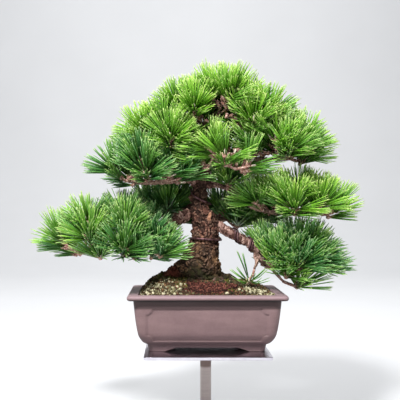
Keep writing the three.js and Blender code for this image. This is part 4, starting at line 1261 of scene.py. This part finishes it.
# Their needles' leans from the tuft's axis in radians, how far a twig sags against its length, how
# long needles inside the crown are against others, and from which height on.
OWN_TWIG_LEANS = (0.5, 1.0)
OWN_TWIG_SAG = 0.14
INNER_LENGTH = 0.8
INNER_FROM = 300
# Where needles are plucked so that wood or open air shows from the front: x, z, half the width and
# height, and how far back.
PLUCKED = np.array([
    [-3, 322, 17, 12, 2], [17, 434, 7, 13, 2], [-4, 413, 8, 5, 2], [30, 418, 7, 5, 2],
    [38, 372, 12, 6, 2], [72, 366, 12, 5, 2], [45, 345, 9, 8, 2], [42, 232, 27, 27, 90],
])
# Ends of the short bare spurs that stand on the nearest wood.
SPURS = [
    (10, -14, 441), (22, -14, 443), (17, -16, 432), (-8, -12, 413), (0, -14, 412), (27, -14, 417),
    (34, -13, 419), (30, -14, 374), (38, -18, 373), (46, -16, 372), (64, -18, 367), (73, -19, 366),
    (82, -18, 368), (40, -14, 352), (47, -16, 346), (52, -12, 340), (-44, -14, 343), (-60, -16, 342),
]
SPUR_REACH = 26
# How many lower fans a spray's tuft has, and how far down its shoot they stand.
LOWER_FANS = 2
LOWER_FAN_DROP = 9
# The low shoot's pairs of needles: direction and length.
LOW_SHOOT_NEEDLES = [
    ((-0.31, -0.1, 0.9), 44), ((-0.22, -0.2, 0.95), 40), ((-0.92, -0.3, -0.1), 24),
    ((-0.8, -0.5, -0.25), 20), ((0.95, -0.2, -0.15), 27), ((0.75, -0.55, -0.25), 20),
    ((0.7, -0.3, 0.5), 26), ((0.85, 0.2, 0.25), 27), ((-0.3, -0.9, 0), 18),
    ((-0.75, 0.2, 0.4), 27), ((0.2, -0.85, 0.2), 20), ((-0.6, -0.2, 0.6), 24),
]
LOW_SHOOT_AXIS = (-0.1, -0.5, 0.85)
# How far the low shoot's level needles curve up, and how far any needle bends.
LOW_SHOOT_CURVE = 9
BEND = 2.6
# Rings round a needle and a sheath: how far along, and their radius.
NEEDLE_RINGS = ((0.0, 0.54), (0.5, 0.78), (0.93, 0.58))
SHEATH_RINGS = ((0.0, 1.15), (1.0, 0.95))
SHEATH_LENGTH = 5.5
# The two needles of a pair stand so far from its middle, and lean apart so much.
PAIR_GAP = 0.35
PAIR_SPREAD = 0.045
# How much of a needle at its root may touch wood.
ROOT_LENGTH = 7
# Buds: their sides and rows of scales, and their smallest and largest length and radius.
BUD_SIDES = 6
BUD_ROWS = 7
BUD_LENGTHS = (6, 9)
BUD_RADII = (1.3, 1.8)
# Twigs: how finely they are meshed and how often smoothed, triangles kept for each of their faces,
# and how much thicker they are than the CAD's.
TWIG_VOXEL = 0.9
TWIG_SMOOTHING = 2
TWIG_SHARE = 1.1
TWIG_SWELL = 0.9

# How much painted light each branch's needles get, from deep green in painted shade (0) to bright
# yellow-green in painted light (1).
PAINTED_LIGHT = {
    "left_low": 0.38, "right_low": 0.26, "left_mid": 0.22, "left_up": 0.78, "right_mid": 0.8,
    "right_up": 0.6, "crown_left": 0.74, "crown_right": 0.72, "crown": 0.86, "back_left": 0.4,
    "back_right": 0.4, "back_up": 0.45, "front_up": 0.6, "low_shoot": 0.5, "inner": 0.35,
}
# How much more painted light the needles at the end of a long pad get than those near the trunk.
PAINTED_LIGHT_AT_ENDS = {"left_low": 0.55, "right_mid": 0.25}


def split_spray(name):
    """A spray's needles, as arrays of roots and points in millimetres, and its twigs as a bmesh."""
    shape = merged_node(name)
    shortest = SHORTEST_CAD_NEEDLE * MM
    tips = [
        v for v in shape.verts
        if len(v.link_faces) == 3 and min(e.calc_length() for e in v.link_edges) > shortest
    ]
    roots, ends = [], []
    for tip in tips:
        corners = [edge.other_vert(tip).co for edge in tip.link_edges]
        roots.append(sum(corners, Vector()) / 3 / MM)
        ends.append(tip.co / MM)
    bmesh.ops.delete(shape, geom=tips, context="VERTS")
    open_edges = [e for e in shape.edges if e.is_boundary]
    bmesh.ops.holes_fill(shape, edges=open_edges, sides=0)
    return np.array(roots), np.array(ends), shape


def shoots_of(roots):
    """Groups needles whose roots lie on the same shoot, as lists of numbers."""
    left = set(range(len(roots)))
    groups = []
    while left:
        group = {left.pop()}
        waiting = list(group)
        while waiting:
            here = roots[waiting.pop()]
            near = {i for i in left if np.linalg.norm(roots[i] - here) < SAME_SHOOT}
            left -= near
            group |= near
            waiting.extend(near)
        groups.append(sorted(group))
    return sorted(groups)


def lifted(directions):
    """The directions, with those below the horizontal raised most of the way to it."""
    raised = np.array(directions)
    raised[:, 2] *= np.where(raised[:, 2] < 0, DROOP_KEPT, 1)
    return unit(raised)


def fan_axes(axis, given):
    """Axes of a tuft's fans: the tuft's own, and others far apart among the given directions."""
    axes = [axis]
    while len(axes) < FANS_PER_TUFT:
        nearest = (given @ np.array(axes).T).max(axis=1)
        axes.append(given[nearest.argmin()])
    return unit(np.array(axes) + FAN_PULL * axis)


def fan_directions(fan, given, count):
    """Directions for a fan's pairs of needles, and how far from its axis each is, from 0 to 1. Four
    times as many are tried."""
    lean = FAN_SPREAD * np.sqrt(rng.random(count * 4))
    spread = around(fan[None], 2 * np.pi * rng.random(count * 4))
    found = lifted(np.cos(lean)[:, None] * fan + np.sin(lean)[:, None] * spread)
    near = (found @ given.T).max(axis=1) > math.cos(NEAR_CAD_NEEDLE)
    return found[near][:count], lean[near][:count] / FAN_SPREAD


def add_stem(shape, start, end):
    """A short tapered stem, added to a bmesh of twigs."""
    way = Vector(end - start)
    turn = way.to_track_quat("Z", "Y").to_matrix().to_4x4()
    middle = Matrix.Translation(Vector((start + end) / 2) * MM)
    low, high = STEM_RADII
    bmesh.ops.create_cone(
        shape, cap_ends=True, segments=STEM_SIDES, radius1=low * MM, radius2=high * MM,
        depth=way.length * MM, matrix=middle @ turn,
    )


def strand_mesh(starts, directions, lengths, bends, rings, pointed):
    """Many three-sided strands at once, each with rings of a station and a radius, and a point if
    wanted: points, triangles, how far along its strand each point lies, and a strand's points."""
    count = len(starts)
    spin = 2 * np.pi * rng.random(count)
    points = []
    for station, radius in rings:
        centre = starts + directions * (lengths * station)[:, None] + bends * station**2
        for k in range(3):
            points.append(centre + radius * around(directions, spin + 2 * np.pi * k / 3))
    along = np.repeat([station for station, _ in rings], 3)
    last = len(points) - 3
    faces = [(0, 2, 1)]
    for row in range(0, last, 3):
        for k in range(3):
            a, b = row + k, row + (k + 1) % 3
            faces += [(a, b, b + 3), (a, b + 3, a + 3)]
    if pointed:
        points.append(starts + directions * lengths[:, None] + bends)
        along = np.append(along, 1.0)
        faces += [(last + k, last + (k + 1) % 3, last + 3) for k in range(3)]
    else:
        faces.append((last, last + 1, last + 2))
    size = len(points)
    points = np.stack(points, axis=1).reshape(-1, 3)
    return points, repeated(faces, count, size), np.tile(along, count), size


def clear_of_wood(starts, directions, lengths, blockers):
    """Which needles don't run into wood, soil or pot."""
    keep = []
    for start, direction, length in zip(starts, directions, lengths):
        begin = Vector(start + direction * ROOT_LENGTH) * MM
        hit = blockers.ray_cast(begin, Vector(direction), (length - ROOT_LENGTH) * MM)
        keep.append(hit[0] is None)
    return np.array(keep)


def not_plucked(starts, directions, lengths):
    """Which needles don't cross a place that is to stay open."""
    keep = np.ones(len(starts), bool)
    for share in np.linspace(0.1, 1, 8):
        spots = starts + directions * (lengths * share)[:, None]
        for x, z, half_x, half_z, back in PLUCKED:
            within = np.hypot((spots[:, 0] - x) / half_x, (spots[:, 2] - z) / half_z) < 1
            keep &= ~(within & (spots[:, 1] < back))
    return keep


def spray_tufts(names, twigs):
    """The tufts of a branch's sprays, as centre, axis, the needles' directions, the number of lower
    fans and the added painted light. Their twigs go into the bmesh."""
    tufts = []
    for name in sorted(names):
        roots, ends, shape = split_spray(name)
        part = mesh_from(shape, "part")
        twigs.from_mesh(part)
        bpy.data.meshes.remove(part)
        for group in shoots_of(roots):
            given = lifted(unit(ends[group] - roots[group]))
            tufts.append((roots[group].mean(axis=0), unit(given.sum(axis=0)), given, LOWER_FANS, 0))
    return tufts


def own_twig_tufts(branch, twigs):
    """The tufts of a branch that stand on the wood by a twig of their own, as those of sprays."""
    trees = [tree_of("wood"), BVHTree.FromBMesh(twigs)]
    tufts = []
    for owner, start, place, axis, brighter in OWN_TWIG_TUFTS:
        if owner != branch:
            continue
        place, axis = np.array(place), unit(np.array(axis))
        hits = [tree.find_nearest(Vector(start) * MM) for tree in trees]
        nearest = min((hit for hit in hits if hit[0] is not None), key=lambda hit: hit[3])
        start = np.array(nearest[0]) / MM
        middle = (start + place) / 2 - (0, 0, OWN_TWIG_SAG * np.linalg.norm(place - start))
        add_stem(twigs, start - 2 * unit(middle - start), middle)
        add_stem(twigs, middle, place)
        sideways = around(axis[None], 2 * np.pi * np.arange(8) / 8)
        rings = [math.cos(lean) * axis + math.sin(lean) * sideways for lean in OWN_TWIG_LEANS]
        tufts.append((place, axis, lifted(unit(np.vstack([*rings, axis]))), 0, brighter))
    return tufts


def add_spurs(twigs):
    """Short knobbly spurs on the wood, which show between the fans of needles."""
    wood = tree_of("wood", *SPRAYS)
    for place in SPURS:
        spot = np.array(wood.find_nearest(Vector(place) * MM)[0]) / MM
        way = np.array(place) - spot
        length = np.linalg.norm(way)
        end = spot + way * min(1, SPUR_REACH / length)
        add_stem(twigs, spot - 2 * way / length, end)
        knob = Matrix.Translation(Vector(end) * MM)
        bmesh.ops.create_icosphere(twigs, subdivisions=2, radius=2 * MM, matrix=knob)


def tuft_shade(branch, centre, axis):
    """How much painted light a tuft's needles get: more high up and at the end of a long pad."""
    height = smoothstep(200, 470, centre[2] + 40 * axis[2])
    out = smoothstep(50, 190, abs(centre[0]))
    shade = PAINTED_LIGHT[branch] + 0.16 * (height - 0.5) + PAINTED_LIGHT_AT_ENDS.get(branch, 0) * (out - 0.5)
    return shade + rng.uniform(-0.1, 0.1)


def build_tufts(blockers):
    """Replaces the sprays: for each branch one piece of needles, one of sheaths and one of twigs."""
    needle, sheath, twig, bud = needle_look(), sheath_look(), twig_look(), bud_look()
    branches = {"inner": []}
    for name in SPRAYS:
        branches.setdefault(name.removeprefix("spray_").rpartition("_")[0], []).append(name)
    buds = []
    for branch, names in sorted(branches.items()):
        twigs = bmesh.new()
        tufts = spray_tufts(names, twigs) + own_twig_tufts(branch, twigs)
        if not names:
            add_spurs(twigs)
        rows = []
        for centre, axis, given, lower_fans, brighter in tufts:
            shade = tuft_shade(branch, centre, axis) + brighter
            if branch == "low_shoot":
                rows.append(low_shoot_needles(centre, shade))
                buds.append((centre, unit(np.array(LOW_SHOOT_AXIS))))
            else:
                rows += tuft_needles(centre, axis, given, lower_fans, shade, twigs, buds)
        starts, directions, lengths, tints = (np.concatenate(part) for part in zip(*rows))
        keep = clear_of_wood(starts, directions, lengths, blockers)
        if branch != "low_shoot":
            keep &= not_plucked(starts, directions, lengths)
        ends = starts + directions * lengths[:, None]
        keep &= np.all((ends > CAD_LOW + 1) & (ends < CAD_HIGH - 1), axis=1)
        starts, directions = starts[keep], directions[keep]
        add_needles(branch, names, starts, directions, lengths[keep], tints[keep], needle)
        add_sheaths(branch, starts, directions, sheath)
        add_twigs(branch, twigs, twig)
    add_buds(buds, bud)


def low_shoot_needles(centre, shade):
    """The low shoot's pairs of needles: roots, directions, lengths and tints."""
    directions, lengths = (np.array(column) for column in zip(*LOW_SHOOT_NEEDLES))
    directions = unit(directions)
    return centre + directions * 1.5, directions, lengths, shade + rng.normal(0, 0.15, len(lengths))


def tuft_needles(centre, axis, given, lower_fans, shade, twigs, buds):
    """A tuft's pairs of needles, fan by fan: roots, directions, lengths and tints."""
    fans = fan_axes(axis, given)
    tips = [centre + fan * rng.uniform(*STEM_LENGTHS) for fan in fans]
    lower = rng.permutation(len(fans) - 1)[:lower_fans] + 1
    lower_centre = centre - axis * LOWER_FAN_DROP
    tips += [lower_centre + fans[i] * rng.uniform(*STEM_LENGTHS) for i in lower]
    rows = []
    for number, (fan, tip) in enumerate(zip(np.vstack([fans, fans[lower]]), tips)):
        is_low = number >= FANS_PER_TUFT
        add_stem(twigs, (lower_centre if is_low else centre) - fan * 2, tip)
        found, lean = fan_directions(fan, given, PAIRS_PER_FAN)
        outward = unit(found - (found @ fan)[:, None] * fan + 1e-6)
        back = FAN_DEPTH * lean + rng.uniform(-FAN_UNEVEN, FAN_UNEVEN, len(found))
        roots = tip - fan * back[:, None] + outward * STEM_SURFACE
        lengths = rng.uniform(*NEEDLE_LENGTHS, len(found))
        if is_low or centre[2] > INNER_FROM and not lower_fans:
            lengths *= INNER_LENGTH
        # Each fan's tint varies at random, and lower fans get painted shade.
        own = shade + rng.uniform(-0.2, 0.2) - 0.2 * is_low
        rows.append((roots, found, lengths, own + rng.normal(0, 0.12, len(found))))
        if number == 0 or rng.random() < BUD_SHARE:
            buds.append((tip + fan * 1.5, fan))
    return rows


def add_needles(branch, names, starts, directions, lengths, tints, material):
    """Two needles at each start, which lean apart and bend."""
    count = len(starts)
    apart = around(directions, 2 * np.pi * rng.random(count))
    curve = np.cross(apart, directions) * BEND * rng.normal(0, 0.5, (count, 1))
    if branch == "low_shoot":
        curve += LOW_SHOOT_CURVE * np.array([0, 0, 1]) * (1 - directions[:, 2:])
    rows = []
    for outward in (-apart, apart):
        leaning = directions + PAIR_SPREAD * rng.uniform(0.4, 1.6, (count, 1)) * outward
        bends = outward * rng.uniform(-0.6, 1.0, (count, 1)) + curve
        rows.append((starts + PAIR_GAP * outward, unit(leaning), bends))
    both_starts, both_directions, bends = (np.concatenate(part) for part in zip(*rows))
    both_lengths = np.concatenate([lengths, lengths * rng.uniform(0.95, 1.0, count)])
    points, faces, along, size = strand_mesh(
        both_starts, both_directions, both_lengths, bends, NEEDLE_RINGS, True
    )
    points = np.clip(points, CAD_LOW, CAD_HIGH)
    # The tint carries each needle's painted light and shade.
    tint = np.repeat(np.clip(np.tile(tints, 2), 0, 1), size)
    add_piece(f"needles_{branch}", points, faces, material, "needles", names, along=along, tint=tint)


def add_sheaths(branch, starts, directions, material):
    """A papery sheath round the root of each pair."""
    lengths = SHEATH_LENGTH * rng.uniform(0.7, 1.2, len(starts))
    points, faces, along, _ = strand_mesh(
        starts - directions * 0.8, directions, lengths, np.zeros(starts.shape), SHEATH_RINGS, False
    )
    add_piece(f"sheaths_{branch}", points, faces, material, "bark", along=along)


def twig_height(point):
    """How far a twig's uneven and scaly surface lies outside the CAD's at a point."""
    distances = noise.voronoi(point / 2.4)[0]
    scales = 0.9 * min(0.5, distances[1] - distances[0]) - 0.2
    return TWIG_SWELL + 0.5 * noise.noise(point / 6) + scales


def add_twigs(branch, shape, material):
    name = f"twigs_{branch}"
    mesh = remeshed(shape, TWIG_VOXEL, TWIG_SMOOTHING, name)
    points, normals, _ = mesh_arrays(mesh)
    heights = np.array([twig_height(Vector(p)) for p in points])
    set_points(mesh, points + normals * heights[:, None])
    set_smooth(mesh)
    mesh = decimated(mesh, round(TWIG_SHARE * len(mesh.polygons)))
    finish_piece(name, mesh, material)


def add_buds(places, material):
    """A pointed bud with overlapping scales at the end of each shoot."""
    points, faces = [], []
    number = np.arange(BUD_SIDES)
    for centre, axis in places:
        length, radius = rng.uniform(*BUD_LENGTHS), rng.uniform(*BUD_RADII)
        rings = []
        for row in range(BUD_ROWS):
            share = row / (BUD_ROWS - 1)
            girth = radius * math.sin(math.pi * (0.16 + 0.8 * share)) ** 0.8
            bulge = (girth * (1 + 0.16 * (number % 2 == row % 2)))[:, None]
            angles = 2 * math.pi * (number + 0.5 * (row % 2)) / BUD_SIDES
            middle = centre + axis * (length * (share - 0.25))
            rings.append(middle + bulge * around(axis[None], angles))
        own_points, own_faces = closed_rings(rings)
        faces += [[len(points) + i for i in face] for face in own_faces]
        points += own_points.tolist()
    add_piece("buds", points, faces, material, "needles")


# Studio, in metres

TREE = (0, 0, 0.3)
# Each light's place, goal, size and power. The last one lights the wall behind the tree.
LIGHTS = [
    ("key", (-0.5, -1.25, 1.6), TREE, 0.35, 62),
    ("top", (0.2, 0.5, 1.9), TREE, 0.8, 20),
    ("fill", (1.7, -1.3, 0.8), TREE, 1.4, 5),
    ("wall", (0, 1.4, 3.4), (0, 4, 1.2), 2.0, 150),
]


def build_studio():
    scene = bpy.context.scene
    scene.view_settings.view_transform = "Standard"
    scene.view_settings.look = "None"
    world = bpy.data.worlds.new("studio")
    world.use_nodes = True
    sky = world.node_tree.nodes["Background"].inputs
    sky["Color"].default_value = linear(225, 228, 232)
    sky["Strength"].default_value = 0.24
    scene.world = world
    look = Look("pale_floor", roughness=0.8, specular=0.2)
    pale = look.mix(look.noise(400, detail=2), (196, 197, 199), (203, 204, 206))
    build_backdrop(look.finished(pale))
    for name, place, goal, size, power in LIGHTS:
        light = bpy.data.lights.new(name, "AREA")
        light.size = size
        light.energy = power
        lamp = placed(name, light)
        lamp.location = place
        lamp.rotation_euler = (Vector(goal) - Vector(place)).to_track_quat("-Z", "Y").to_euler()


def build_backdrop(material):
    """A pale floor that curves up into a wall far behind the tree."""
    wall, bend, width, front, top = 4.5, 2.0, 9, -8, 7
    turns = quarter_turns(24)
    profile = [(wall - bend + bend * math.sin(t), bend - bend * math.cos(t)) for t in turns]
    profile = [(front, 0), *profile, (wall, top)]
    points = [(side * width, y, z) for side in (-1, 1) for y, z in profile]
    count = len(profile)
    faces = [(i, count + i, count + i + 1, i + 1) for i in range(count - 1)]
    mesh = bpy.data.meshes.new("floor")
    mesh.from_pydata(points, [], faces)
    set_smooth(mesh)
    mesh.materials.append(material)
    placed("floor", mesh)


# The photograph's view: level, 1.04 m in front of the trunk and a little to its left.
CAMERA_PLACE = (-0.04075, -1.043, 0.292)
FOCAL_LENGTH_IN_PIXELS = 774
PICTURE_WIDTH = 400
SENSOR = 36
CAMERA_SHIFT = (0.0615, 0.0275)


def build_camera():
    camera = bpy.data.cameras.new("camera")
    camera.sensor_width = SENSOR
    camera.lens = SENSOR * FOCAL_LENGTH_IN_PIXELS / PICTURE_WIDTH
    camera.shift_x, camera.shift_y = CAMERA_SHIFT
    rig = placed("camera", camera)
    rig.location = CAMERA_PLACE
    rig.rotation_euler = (math.pi / 2, 0, 0)
    bpy.context.scene.camera = rig


build_camera()
build_studio()
build_stand()
build_pot()
build_screens()
build_soil()
build_wood()
build_wires()
build_tufts(tree_of("wood", "soil", "pot"))
